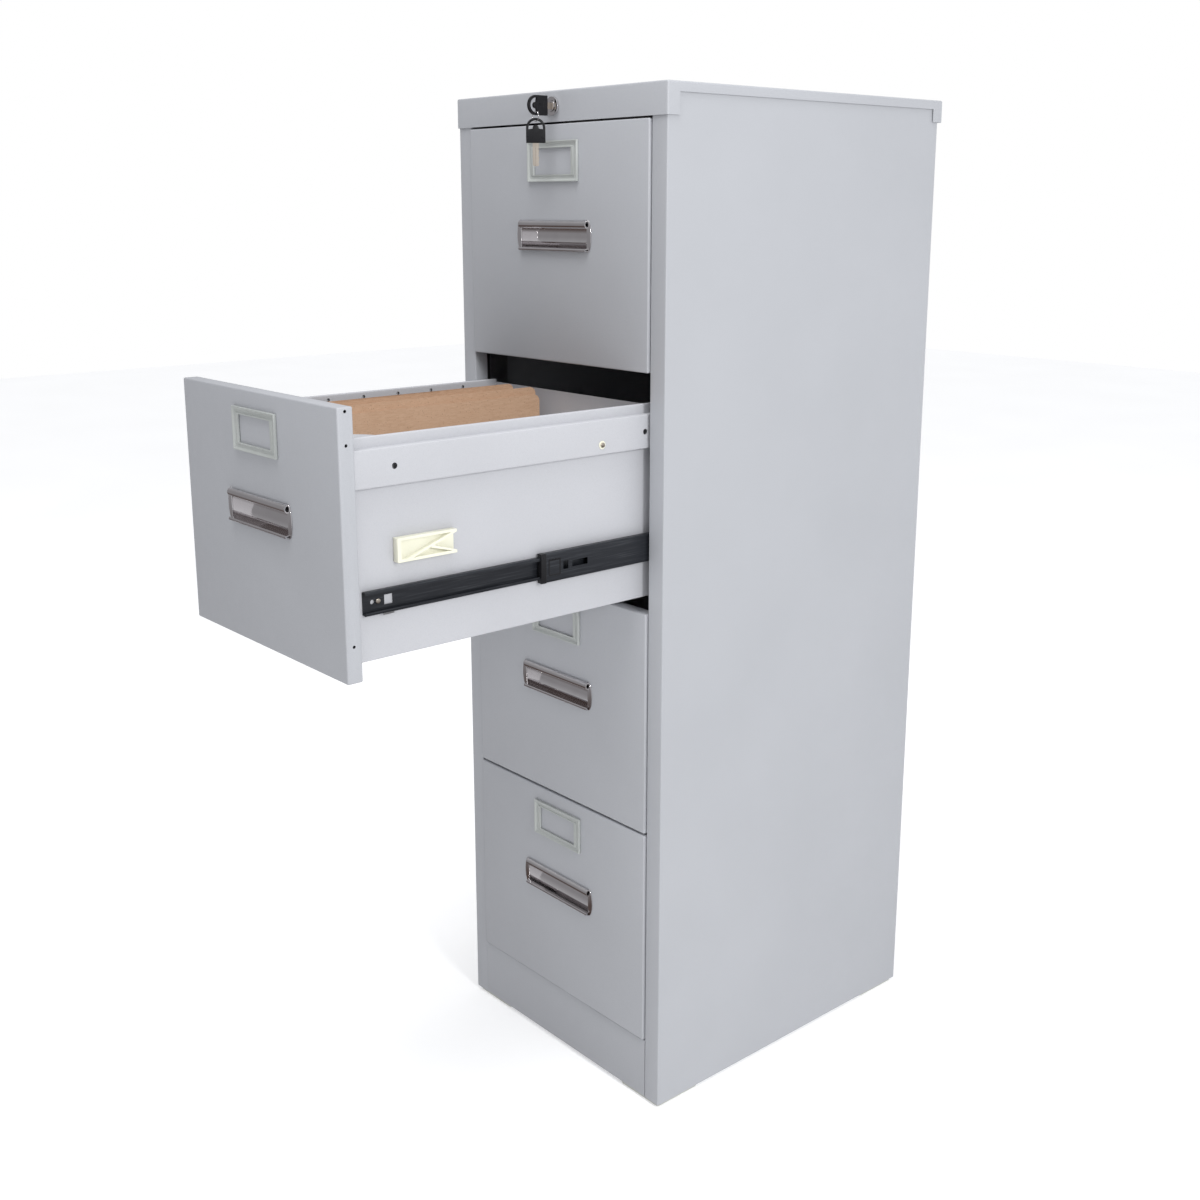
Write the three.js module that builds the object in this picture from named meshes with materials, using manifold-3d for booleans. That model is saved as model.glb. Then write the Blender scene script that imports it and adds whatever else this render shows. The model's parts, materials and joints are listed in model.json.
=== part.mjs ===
// Four-drawer vertical filing cabinet in folded sheet steel.
// Millimetres, +Z up. The fronts face -Y, the left side is -X, and the feet stand on z = 0.
// The case is drawn with x = 0 on its centre line and y = 0 on the face of its stiles.
// The second drawer from the top stands open, as it is at rest.
import * as THREE from 'three'
import { mergeVertices } from 'three/addons/utils/BufferGeometryUtils.js'
import Module from 'manifold-3d'

const wasm = await Module()
wasm.setup()

// ---- Driving dimensions ----

// case
const CASE_W = 410
const CASE_D = 510
const CASE_H = 1330
const SHEET = 0.8 // thickness of every folded sheet
const GAP = 0.3 // clearance between pieces that rest on each other
const WELD = 0.2 // how far solids of one piece reach into each other
const CUT = 1 // how far a cut reaches past the face that it opens
const SNAP = 0.004 // corners nearer than this are one corner
const STILE_W = 26.5 // face beside the drawers
const STILE_RETURN = 20 // flange behind the stile's inner edge
const REAR_FLANGE = 15
const BASE_RIM = 22
const PLINTH_H = 85
const PLINTH_RETURN = 15

// feet
const FOOT_SIZE = 75
const FOOT_H = 5.7
const FOOT_INSET = 4
const FOOT_CORNER = 4

// lid
const LID_PROUD = 2 // in front of and beside the case
const LID_BACK = 7 // behind the case
const LID_LIP_H = 38
const LID_FLANGE_H = 12 // flange along each side
const LID_WRAP = 18 // full-height lip that turns each front corner
const LID_EAR_H = 29 // flange at each rear corner and across the back
const LID_EAR_L = 20

// drawer fronts
const DRAWERS = 4
const FRONT_GAP = 3 // between two fronts
const TOP_GAP = 2.5 // between the top front and the lid
const SIDE_GAP = 1.5 // beside and below the fronts
const FRONT_T = 19
const FRONT_PROUD = 3
const FRONT_FLANGE = 30 // flange round the back of a front
const FLANGE_HOLE_R = 1.8
const FLANGE_HOLE_DROPS = [4.5, 40] // holes below the top of a front's side flanges
const FLANGE_HOLE_UP = 41 // hole above the bottom
const TRAVEL = 450
const TRAVEL_LEFT = 20 // how much further the second drawer could still come

// trays
const TRAY_DROP = 35 // rim below the top of its front
const TRAY_LIFT = 17 // floor above the bottom of its front
const TRAY_BACK = 58 // space behind a closed tray
const TRAY_BACK_DROP = 4 // back wall below the rim
const BAND_DROP = 12 // rail band below the rim
const BAND_H = 42
const BAND_PROUD = 8.7
const HEM_W = 4.8
const HEM_H = 14
const HEM_HOLE_PITCH = 52.7
const HEM_HOLE_START = 62
const HEM_HOLE_R = 2.4
const BAND_HOLE_R = 3.5
const BAND_HOLE_FRONT = 50
const BAND_HOLE_BACK = 25

// ball-bearing slides between a tray's side and the uprights, nested from the tray outward
const SLIDE_T = 12.7
const SLIDE_INSET = 0.5 // inside the stile's inner edge
const SLIDE_PLAY = 1.15 // room for the balls between two members
const SLIDE_UP = 83 // slide's middle above the bottom of its front
const SLIDE_FRONT = 20
const SLIDE_BACK = 55 // space behind the cabinet member
const INNER = { height: 26.5, nest: 0, start: 5, end: 10 }
const MIDDLE = { height: 35, nest: 1, start: 30, end: 25 }
const OUTER = { height: 45, nest: 2, start: 0, end: 0 }
const SLIDE_SHEET = 1.2
const UPRIGHT_D = 30
const UPRIGHT_FRONT = 25
const UPRIGHT_BACK = 70
const UPRIGHT_SHEET = 1.2
const RACK_LIFT = 3 // uprights above the rim of the floor pan
const RACK_TOP = 20 // uprights above the rim of the top tray

// recessed pulls
const PULL_W = 148
const PULL_H = 39
const PULL_DEPTH = 14
const PULL_WALL = 1.6
const PULL_LIP_R = 5
const PULL_DROP = 136.5 // pull's middle below the top of its front
const PULL_CUT_MARGIN = 3 // pull's flange over the edge of its cut-out
const PULL_PLAY = 1 // scoop inside its cut-out
const PULL_BROW = 2 // flat strip above the rolled lip
const PULL_CURL = 234 // where the lip's roll ends, in degrees from straight back, upward first

// label holders
const LABEL_W = 98
const LABEL_H = 50
const LABEL_T = 3.5
const LABEL_BORDER_X = 12
const LABEL_BORDER_Z = 8.75
const LABEL_DROP = 20 // top edge below the top of its front
const LABEL_CORNER_R = 1.5
const LABEL_WINDOW_R = 1

// lock and keys
const BARREL_R = 9
const BEZEL_R = 11.5
const BEZEL_T = 3.5
const BARREL_L = 20
const NUT_R = 13
const NUT_T = 5
const PLUG_R = 6.5
const PLUG_PROUD = 1 // plug's face in front of the bezel
const KEY_SLOT = { thick: 2.8, tall: 8.6 }
const BLADE = { thick: 2, tall: 8 }
const BLADE_IN_PLUG = 12
const BOW = { thick: 3.4, wide: 24, long: 30, rim: 3, slot: 5.1, slotTurn: 200 }
const BOW_STANDOFF = 6 // from the plug's face to the bow
const BLADE_IN_BOW = 7
const RING_R = 6
const RING_WIRE_R = 0.6
const RING_HANG = 2.9 // ring's middle below the rim that it hangs on
const SPARE_PLAY = 0.6 // between the ring's wire and the spare key's rim
const SPARE_TURN = -35 // spare key's turn about the vertical
const SPARE_BLADE_L = 28

// linkage between the lock and the drawers
const CRANK_R = 16
const CRANK_W = 8
const CRANK_T = 2
const CRANK_GAP = 1 // behind the barrel
const CRANK_TURN = 45 // crank below the axis, to each side of straight down
const PIN_R = 2.5
const PIN_PLAY = 0.6
const PIN_OUT = 2 // pin's end behind the link
const LINK_Y = 30
const LINK_T = 1.5
const LINK_H = 28
const LINK_DROP = 12 // link's lower edge below the lid's lip
const LINK_END = 10 // past the slots at its ends
const STAPLE_X = [40, 100] // staples under the lid that carry the link
const STAPLE_W = 14
const STAPLE_T = 1.5
const BAR_T = 2
const BAR_W = 16
const BAR_Y = 62
const BAR_END = 14 // past the lowest pin
const PIN_STANDOFF = 1.6 // between a catch and the pin that works against it
const GUIDE_H = 10
const GUIDE_UP = 40 // guide above a catch
const ARM_GAP = 3 // between the link and the bar's arm
const ARM_H = 13
const ARM_END = 4 // past the stud
const STUD_IN = 40 // stud inboard of the case's side
const STUD_UP = 8 // stud above the link's lower edge
const RAMP = 0.5 // rise of the bar per travel of the link
const CATCH_UP = 136 // interlock catch's middle above the bottom of its front
const CATCH = { length: 78, height: 27, base: 2, rib: 7, start: 50, border: 3, wall: 5, ribW: 7 }
const CATCH_SHORT_RIB = 44 // from the catch's closed end to where its short rib starts

// paper folders kept in the open drawer
const FOLDER_L = 378
const FOLDER_START = 38 // behind the tray's front wall
const FOLDER_PROUD = 1 // above the tray's rim
const FOLDER_T = 9
const FOLDER_X = [-92, -44]

// ---- Sizes that follow ----

const half = CASE_W / 2
const bodyBottom = FOOT_H + GAP
const lipBottom = CASE_H - LID_LIP_H
const lidUnder = CASE_H - SHEET
const plinthTop = bodyBottom + PLINTH_H
const frontPitch = (lipBottom - TOP_GAP - plinthTop - SIDE_GAP + FRONT_GAP) / DRAWERS
const frontH = frontPitch - FRONT_GAP
const openingHalf = half - STILE_W
const frontHalf = openingHalf - SIDE_GAP
const frontBack = FRONT_T - FRONT_PROUD
const slideFace = openingHalf - SLIDE_INSET
const trayHalf = slideFace - SLIDE_T
const trayTop = frontH - TRAY_DROP
const trayStart = frontBack + GAP
const trayEnd = CASE_D - TRAY_BACK
const slideEnd = CASE_D - SLIDE_BACK
const lockZ = lipBottom + LID_LIP_H / 2
const lidFace = -LID_PROUD
const plugFace = lidFace - GAP - BEZEL_T - PLUG_PROUD
const linkBottom = lipBottom - LINK_DROP
const barOuter = slideFace + STAPLE_T + GAP + BAR_T
const catchFace = trayHalf + GAP + CATCH.base + CATCH.rib

// ---- Finishes ----

const GREY_PAINT = { color: 0xbec2c6, roughness: 0.5, metalness: 0.1 }
const TRAY_PAINT = { color: 0xd2d5da, roughness: 0.5, metalness: 0.1 }
const FOOT_PLASTIC = { color: 0xc9cbc4, roughness: 0.6, metalness: 0 }
const CREAM_PLASTIC = { color: 0xeceada, roughness: 0.45, metalness: 0 }
const LABEL_PLASTIC = { color: 0xc8ccc8, roughness: 0.45, metalness: 0 }
const BLACK_PLASTIC = { color: 0x16171a, roughness: 0.4, metalness: 0 }
const CHROME = { color: 0xdfe0e4, roughness: 0.12, metalness: 1 }
const NICKEL = { color: 0xb9b6ae, roughness: 0.3, metalness: 1 }
const BLACK_STEEL = { color: 0x1d1f22, roughness: 0.4, metalness: 0.7 }
const ZINC = { color: 0x8f9398, roughness: 0.4, metalness: 0.9 }
const KRAFT = { color: 0xb98f6c, roughness: 0.9, metalness: 0 }

// ---- Shape helpers ----

// Rounded to a 1024th of a millimetre, which 32-bit numbers hold exactly, so that flush faces stay flush.
function exact(v) {
  return Math.round(v * 1024) / 1024
}

// A closed three.js geometry as a solid that can be joined and cut.
function solidOf(geometry) {
  geometry.deleteAttribute('normal')
  geometry.deleteAttribute('uv')
  const merged = mergeVertices(geometry, 1e-4)
  const vertProperties = merged.attributes.position.array.map(exact)
  const triVerts = new Uint32Array(merged.index.array)
  return new wasm.Manifold(new wasm.Mesh({ numProp: 3, vertProperties, triVerts }))
}

function join(...solids) {
  return solids.reduce((all, solid) => all.add(solid))
}

// A block between two limits along each axis, given in either order.
function block(x, y, z) {
  const low = [x, y, z].map((range) => Math.min(...range))
  const size = [x, y, z].map((range, i) => Math.max(...range) - low[i])
  const geometry = new THREE.BoxGeometry(...size)
  geometry.translate(...low.map((start, i) => start + size[i] / 2))
  return solidOf(geometry)
}

// Limits measured outward from the centre line, on one side of it.
function outward(side, from, to) {
  return [side * from, side * to]
}

// A plane shape given a thickness: 'yz' shapes grow along x, 'zx' shapes along y, 'xy' shapes along z.
const PLANES = {
  yz: [new THREE.Vector3(0, 1, 0), new THREE.Vector3(0, 0, 1), new THREE.Vector3(1, 0, 0)],
  zx: [new THREE.Vector3(0, 0, 1), new THREE.Vector3(1, 0, 0), new THREE.Vector3(0, 1, 0)],
  xy: [new THREE.Vector3(1, 0, 0), new THREE.Vector3(0, 1, 0), new THREE.Vector3(0, 0, 1)],
}
function plate(shape, plane, limits, curveSegments = 6) {
  const from = Math.min(...limits)
  const depth = Math.max(...limits) - from
  const geometry = new THREE.ExtrudeGeometry(shape, { depth, bevelEnabled: false, curveSegments })
  geometry.translate(0, 0, from)
  geometry.applyMatrix4(new THREE.Matrix4().makeBasis(...PLANES[plane]))
  return solidOf(geometry)
}

// A disc of radius r about (a, b) in the plane's own two directions.
function disc(a, b, r) {
  return new THREE.Shape().absarc(a, b, r, 0, 2 * Math.PI)
}

function polygon(points) {
  return new THREE.Shape(points.map(([a, b]) => new THREE.Vector2(a, b)))
}

// A rounded outline between limits along the plane's two directions.
function roundedOutline([a0, a1], [b0, b1], r) {
  const shape = new THREE.Shape()
  shape.absarc(a1 - r, b1 - r, r, 0, Math.PI / 2)
  shape.absarc(a0 + r, b1 - r, r, Math.PI / 2, Math.PI)
  shape.absarc(a0 + r, b0 + r, r, Math.PI, 1.5 * Math.PI)
  shape.absarc(a1 - r, b0 + r, r, 1.5 * Math.PI, 2 * Math.PI)
  return shape
}

function piece(name, solid, finish) {
  const { vertProperties, triVerts } = solid.asOriginal().simplify(SNAP).getMesh()
  const geometry = new THREE.BufferGeometry()
  geometry.setAttribute('position', new THREE.BufferAttribute(vertProperties, 3))
  geometry.setIndex(new THREE.BufferAttribute(triVerts, 1))
  geometry.computeVertexNormals()
  const mesh = new THREE.Mesh(geometry, new THREE.MeshStandardMaterial(finish))
  mesh.name = name
  return mesh
}

// ---- Case ----

// Side, stile, stile return, rear flange and floor flange, folded from one sheet.
function sidePanel(side) {
  const wallTop = lidUnder - GAP
  const tall = [bodyBottom, wallTop]
  return join(
    block(outward(side, half - SHEET, half), [0, CASE_D], tall),
    block(outward(side, openingHalf, half), [0, SHEET], tall),
    block(outward(side, openingHalf, openingHalf + SHEET), [0, STILE_RETURN], tall),
    block(outward(side, half - REAR_FLANGE, half), [CASE_D - SHEET, CASE_D], tall),
    block(outward(side, openingHalf, half), [0, CASE_D], [bodyBottom, bodyBottom + SHEET]),
  )
}

function backPanel() {
  const inside = half - SHEET - GAP
  const y = CASE_D - SHEET - GAP
  return block([-inside, inside], [y - SHEET, y], [bodyBottom + SHEET + GAP, lidUnder - GAP])
}

// Floor pan with its rim turned up behind the plinth, along the sides and at the back.
function basePanel() {
  const wide = half - SHEET - GAP
  const narrow = openingHalf - GAP
  const step = STILE_RETURN + GAP
  const front = PLINTH_RETURN + GAP
  const back = CASE_D - 2 * (SHEET + GAP)
  const floor = bodyBottom + SHEET + GAP
  const rim = [floor, floor + BASE_RIM]
  const outline = polygon([
    [-narrow, front], [narrow, front], [narrow, step], [wide, step],
    [wide, back], [-wide, back], [-wide, step], [-narrow, step],
  ])
  return join(
    plate(outline, 'xy', [floor, floor + SHEET]),
    block([-narrow, narrow], [front, front + SHEET], rim),
    block([-wide, wide], [back - SHEET, back], rim),
    block([wide - SHEET, wide], [step, back], rim),
    block([-wide, SHEET - wide], [step, back], rim),
  )
}

function plinthPanel() {
  const inside = openingHalf - GAP
  return join(
    block([-inside, inside], [0, SHEET], [bodyBottom, plinthTop]),
    block([-inside, inside], [0, PLINTH_RETURN], [plinthTop - SHEET, plinthTop]),
    block([-inside, inside], [0, PLINTH_RETURN], [bodyBottom, bodyBottom + SHEET]),
  )
}

function foot(side, atBack) {
  const outer = half - FOOT_INSET
  const y = atBack ? CASE_D - FOOT_INSET - FOOT_SIZE : FOOT_INSET
  const outline = roundedOutline(
    outward(side, outer - FOOT_SIZE, outer).sort((a, b) => a - b), [y, y + FOOT_SIZE], FOOT_CORNER)
  return plate(outline, 'xy', [0, FOOT_H], 2)
}

// A staple that hangs from the lid with the link in it.
function linkStaple(x) {
  const wide = [x, x + STAPLE_W]
  const front = LINK_Y - GAP
  const back = LINK_Y + LINK_T + GAP
  const bottom = linkBottom - GAP
  const tall = [bottom - STAPLE_T, lidUnder + WELD]
  return join(
    block(wide, [front - STAPLE_T, front], tall),
    block(wide, [back, back + STAPLE_T], tall),
    block(wide, [front - STAPLE_T, back + STAPLE_T], [bottom - STAPLE_T, bottom]),
  )
}

function lid() {
  const outer = half + LID_PROUD
  const rear = CASE_D + LID_BACK
  const lip = [lipBottom, CASE_H]
  const ear = [CASE_H - LID_EAR_H, CASE_H]
  const sheets = [
    block([-outer, outer], [lidFace, rear], [lidUnder, CASE_H]),
    block([-outer, outer], [lidFace, lidFace + SHEET], lip),
    block([-outer, outer], [rear - SHEET, rear], ear),
  ]
  for (const side of [-1, 1]) {
    const skin = outward(side, outer - SHEET, outer)
    sheets.push(
      block(skin, [lidFace, rear], [CASE_H - LID_FLANGE_H, CASE_H]),
      block(skin, [lidFace, LID_WRAP], lip),
      block(skin, [rear - LID_EAR_L, rear], ear),
    )
  }
  const lockHole = plate(disc(lockZ, 0, BARREL_R + GAP), 'zx', [lidFace - CUT, lidFace + SHEET + CUT], 12)
  return join(...sheets, ...STAPLE_X.map(linkStaple)).subtract(lockHole)
}

// ---- Slides ----

// A channel along y with its web and two lips. The member at the tray opens outward, and the others
// open towards the tray and nest round it.
function channel(side, { height, nest, start, end }) {
  const step = SLIDE_SHEET + SLIDE_PLAY
  const webAtTray = nest === INNER.nest
  const y = [SLIDE_FRONT + start, slideEnd - end]
  const a = trayHalf + GAP + nest * step
  const b = slideFace - (OUTER.nest - nest) * step
  const web = webAtTray ? [a, a + SLIDE_SHEET] : [b - SLIDE_SHEET, b]
  const z = height / 2
  return join(
    block(outward(side, ...web), y, [-z, z]),
    block(outward(side, a, b), y, [z - SLIDE_SHEET, z]),
    block(outward(side, a, b), y, [-z, SLIDE_SHEET - z]),
  )
}

function frontBottom(index) {
  return plinthTop + SIDE_GAP + index * frontPitch
}

// Two uprights with the cabinet members of all four slides, and on the lock side the guides of its bar.
function slideRack(side) {
  const low = bodyBottom + SHEET + GAP + BASE_RIM + RACK_LIFT
  const high = frontBottom(DRAWERS - 1) + trayTop + RACK_TOP
  const web = outward(side, slideFace - WELD, slideFace + UPRIGHT_SHEET)
  const wall = half - SHEET - GAP
  const solids = []
  for (const y of [UPRIGHT_FRONT, CASE_D - UPRIGHT_BACK - UPRIGHT_D]) {
    const lips = outward(side, slideFace, wall)
    solids.push(
      block(web, [y, y + UPRIGHT_D], [low, high]),
      block(lips, [y, y + UPRIGHT_SHEET], [low, high]),
      block(lips, [y + UPRIGHT_D - UPRIGHT_SHEET, y + UPRIGHT_D], [low, high]),
    )
  }
  for (let i = 0; i < DRAWERS; i++) {
    solids.push(channel(side, OUTER).translate([0, 0, frontBottom(i) + SLIDE_UP]))
    if (side > 0) solids.push(barGuide().translate([0, 0, frontBottom(i) + CATCH_UP + GUIDE_UP]))
  }
  return join(...solids)
}

// A staple round the locking bar, standing on the front upright.
function barGuide() {
  const start = UPRIGHT_FRONT + UPRIGHT_D - UPRIGHT_SHEET
  const end = BAR_Y + BAR_W + GAP + STAPLE_T
  const outer = barOuter + GAP
  const tall = [-GUIDE_H / 2, GUIDE_H / 2]
  return join(
    block([slideFace, slideFace + STAPLE_T], [start, end], tall),
    block([outer, outer + STAPLE_T], [start, end], tall),
    block([slideFace, outer + STAPLE_T], [end - STAPLE_T, end], tall),
  )
}

// ---- Drawers ----

function drawerFront() {
  const z = [0, frontH]
  const shell = block([-frontHalf, frontHalf], [-FRONT_PROUD, frontBack], z)
  const hollowHalf = frontHalf - SHEET
  const hollow = block(
    [-hollowHalf, hollowHalf], [SHEET - FRONT_PROUD, frontBack - SHEET], [SHEET, frontH - SHEET])
  const windowHalf = frontHalf - FRONT_FLANGE
  const opening = block(
    [-windowHalf, windowHalf], [frontBack - 2 * SHEET, frontBack + CUT],
    [TRAY_LIFT + FRONT_FLANGE, trayTop - FRONT_FLANGE])
  const pullZ = frontH - PULL_DROP
  const cutHalf = PULL_W / 2 - PULL_CUT_MARGIN
  const cutTall = PULL_H / 2 - PULL_CUT_MARGIN
  const pullCut = block(
    [-cutHalf, cutHalf], [-FRONT_PROUD - CUT, SHEET + CUT - FRONT_PROUD], [pullZ - cutTall, pullZ + cutTall])
  const flangeY = -FRONT_PROUD + FRONT_T / 2
  const holes = [FLANGE_HOLE_UP, ...FLANGE_HOLE_DROPS.map((drop) => frontH - drop)].map((up) =>
    plate(disc(flangeY, up, FLANGE_HOLE_R), 'yz', [-frontHalf - CUT, frontHalf + CUT], 4))
  return [hollow, opening, pullCut, ...holes].reduce((all, cut) => all.subtract(cut), shell)
}

// Open-topped tray: floor, four walls, a hemmed rim with hanger holes, and a rail band down each side.
function tray() {
  const y = [trayStart, trayEnd]
  const tall = [TRAY_LIFT, trayTop]
  const solids = [
    block([-trayHalf, trayHalf], y, [TRAY_LIFT, TRAY_LIFT + SHEET]),
    block([-trayHalf, trayHalf], [trayStart, trayStart + SHEET], tall),
    block([-trayHalf, trayHalf], [trayEnd - SHEET, trayEnd], [TRAY_LIFT, trayTop - TRAY_BACK_DROP]),
  ]
  const bandTop = trayTop - BAND_DROP
  const bandBottom = bandTop - BAND_H
  const bandOut = trayHalf + BAND_PROUD
  for (const side of [-1, 1]) {
    solids.push(
      block(outward(side, trayHalf - SHEET, trayHalf), y, tall),
      block(outward(side, trayHalf - HEM_W, trayHalf), y, [trayTop - SHEET, trayTop]),
      block(outward(side, trayHalf - HEM_W, trayHalf - HEM_W + SHEET), y, [trayTop - HEM_H, trayTop]),
      block(outward(side, trayHalf - SHEET, bandOut), y, [bandTop - SHEET, bandTop]),
      block(outward(side, trayHalf - SHEET, bandOut), y, [bandBottom, bandBottom + SHEET]),
      block(outward(side, bandOut - SHEET, bandOut), y, [bandBottom, bandTop]),
    )
  }
  let shell = join(...solids)
  const hemZ = trayTop - HEM_H / 2
  for (let at = trayStart + HEM_HOLE_START; at < trayEnd - HEM_H; at += HEM_HOLE_PITCH) {
    for (const side of [-1, 1]) {
      const across = outward(side, trayHalf - HEM_W - CUT, trayHalf - HEM_W + SHEET + CUT)
      shell = shell.subtract(plate(disc(at, hemZ, HEM_HOLE_R), 'yz', across, 3))
    }
  }
  const bandZ = (bandTop + bandBottom) / 2
  for (const at of [trayStart + BAND_HOLE_FRONT, trayEnd - BAND_HOLE_BACK]) {
    for (const side of [-1, 1]) {
      const across = outward(side, bandOut - SHEET - CUT, bandOut + CUT)
      shell = shell.subtract(plate(disc(at, bandZ, BAND_HOLE_R), 'yz', across, 4))
    }
  }
  return shell
}

// The pull in section, as (y, z) about its middle on the front's face.
const pullTop = PULL_H / 2
const pullFace = -GAP - PULL_WALL
const pullNeck = pullTop - PULL_CUT_MARGIN - PULL_PLAY
const pullFoot = PULL_CUT_MARGIN + 2 * PULL_PLAY - pullTop

// The back of the scoop, from the lower flange round to the upper one.
function addScoopBack(section) {
  section.lineTo(-GAP, pullFoot)
  section.quadraticCurveTo(PULL_DEPTH, pullFoot, PULL_DEPTH, 0)
  section.quadraticCurveTo(PULL_DEPTH, pullNeck, -GAP, pullNeck)
}

// The wall: a lip rolled forward at the top, a deep scoop under and behind it for the fingers, and a
// lower face that sweeps out to the flange.
function pullWall() {
  const inside = PULL_DEPTH - PULL_WALL
  const lipZ = pullTop - PULL_BROW - PULL_LIP_R
  const section = new THREE.Shape()
  section.moveTo(-GAP, pullTop)
  section.lineTo(pullFace, pullTop)
  section.absarc(pullFace, lipZ, PULL_LIP_R, Math.PI / 2, THREE.MathUtils.degToRad(PULL_CURL), false)
  section.lineTo(0, pullNeck - 3 * PULL_WALL)
  section.quadraticCurveTo(inside, pullNeck - 2 * PULL_WALL, inside, 0)
  section.quadraticCurveTo(inside, pullFoot + PULL_WALL, pullFace, pullFoot + PULL_WALL)
  section.lineTo(pullFace, -pullTop)
  section.lineTo(-GAP, -pullTop)
  addScoopBack(section)
  return section
}

function pullCheek() {
  const section = new THREE.Shape()
  section.moveTo(pullFace, pullNeck)
  section.lineTo(pullFace, pullFoot)
  addScoopBack(section)
  return section
}

// A frame round the cut-out, with the scoop hung in it between two cheeks.
function pull() {
  const halfW = PULL_W / 2
  const scoopHalf = halfW - PULL_CUT_MARGIN - PULL_PLAY
  const cheekIn = scoopHalf - PULL_WALL
  const flange = block([-halfW, halfW], [pullFace, -GAP], [-pullTop, pullTop])
  const mouth = block([-cheekIn, cheekIn], [-PULL_DEPTH, PULL_DEPTH], [pullFoot, pullNeck])
  const cheeks = [-1, 1].map((side) => plate(pullCheek(), 'yz', outward(side, cheekIn, scoopHalf), 5))
  return join(flange.subtract(mouth), plate(pullWall(), 'yz', [-scoopHalf, scoopHalf], 5), ...cheeks)
}

function labelHolder() {
  const x = LABEL_W / 2
  const z = LABEL_H / 2
  const outline = roundedOutline([-z, z], [-x, x], LABEL_CORNER_R)
  const tall = [LABEL_BORDER_Z - z, z - LABEL_BORDER_Z]
  const wide = [LABEL_BORDER_X - x, x - LABEL_BORDER_X]
  outline.holes.push(new THREE.Path(roundedOutline(tall, wide, LABEL_WINDOW_R).getPoints(2)))
  return plate(outline, 'zx', [-GAP - LABEL_T, -GAP], 2)
}

// Catch that the locking bar's pins work against: a base plate with bars along its top and bottom, a wall
// at its closed end, a long rib that slants from corner to corner and a short one below it.
function interlockCatch() {
  const { length, height, base, start, border, wall, ribW } = CATCH
  const y = [trayStart + start, trayStart + start + length]
  const z = [CATCH_UP - height / 2, CATCH_UP + height / 2]
  const foot = trayHalf + GAP
  const raised = [foot, catchFace]
  const longRib = polygon([
    [y[0] + wall, z[0]], [y[0] + wall + ribW, z[0]], [y[1], z[1] - border], [y[1] - ribW, z[1] - border],
  ])
  const shortStart = y[0] + CATCH_SHORT_RIB
  const shortRib = polygon([
    [shortStart, CATCH_UP], [y[1], z[0] + border], [y[1] - ribW, z[0] + border], [shortStart, CATCH_UP - border],
  ])
  return join(
    block([foot, foot + base], y, z),
    block(raised, y, [z[1] - border, z[1]]),
    block(raised, y, [z[0], z[0] + border]),
    block(raised, [y[0], y[0] + wall], z),
    plate(longRib, 'yz', raised),
    plate(shortRib, 'yz', raised),
  )
}

// ---- Lock, keys and linkage ----

const crankAngle = THREE.MathUtils.degToRad(CRANK_TURN)
const crankX = -CRANK_R * Math.sin(crankAngle)
const crankLift = CRANK_R * (1 - Math.cos(crankAngle))
const linkTravel = -2 * crankX
const studX = half - STUD_IN
const studZ = linkBottom + STUD_UP
const plugBack = lidFace + BARREL_L + CRANK_GAP

function lockBarrel() {
  const bezel = plate(disc(lockZ, 0, BEZEL_R), 'zx', [lidFace - GAP - BEZEL_T, lidFace - GAP], 12)
  const sleeve = plate(disc(lockZ, 0, BARREL_R), 'zx', [lidFace - GAP - WELD, lidFace + BARREL_L], 12)
  const nutY = lidFace + SHEET + GAP
  const nut = plate(disc(lockZ, 0, NUT_R), 'zx', [nutY, nutY + NUT_T], 3)
  const bore = plate(disc(lockZ, 0, PLUG_R + GAP), 'zx', [plugFace - CUT, plugBack + CUT], 12)
  return join(bezel, sleeve, nut).subtract(bore)
}

// Turning core with its keyway, and behind it the crank with the pin that drives the link.
function lockPlug() {
  const core = plate(disc(lockZ, 0, PLUG_R), 'zx', [plugFace, plugBack + WELD], 12)
  const keyway = block(
    [-KEY_SLOT.thick / 2, KEY_SLOT.thick / 2], [plugFace - CUT, plugFace + BLADE_IN_PLUG + CUT],
    [lockZ - KEY_SLOT.tall / 2, lockZ + KEY_SLOT.tall / 2])
  const lean = Math.PI + crankAngle
  const crank = new THREE.BoxGeometry(CRANK_R + CRANK_W, CRANK_W, CRANK_T)
  crank.translate(CRANK_R / 2, 0, 0)
  crank.rotateZ(lean)
  crank.applyMatrix4(new THREE.Matrix4().makeBasis(...PLANES.zx))
  crank.translate(0, plugBack + CRANK_T / 2, lockZ)
  const pinZ = lockZ - CRANK_R * Math.cos(crankAngle)
  const pin = plate(disc(pinZ, crankX, PIN_R), 'zx', [plugBack + WELD, LINK_Y + LINK_T + PIN_OUT], 6)
  return join(core.subtract(keyway), solidOf(crank), pin)
}

const bowR = BOW.wide / 2
const bowBack = plugFace - BOW_STANDOFF
const domeY = bowBack - BOW.long + bowR
const slotOut = bowR - BOW.rim

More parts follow.
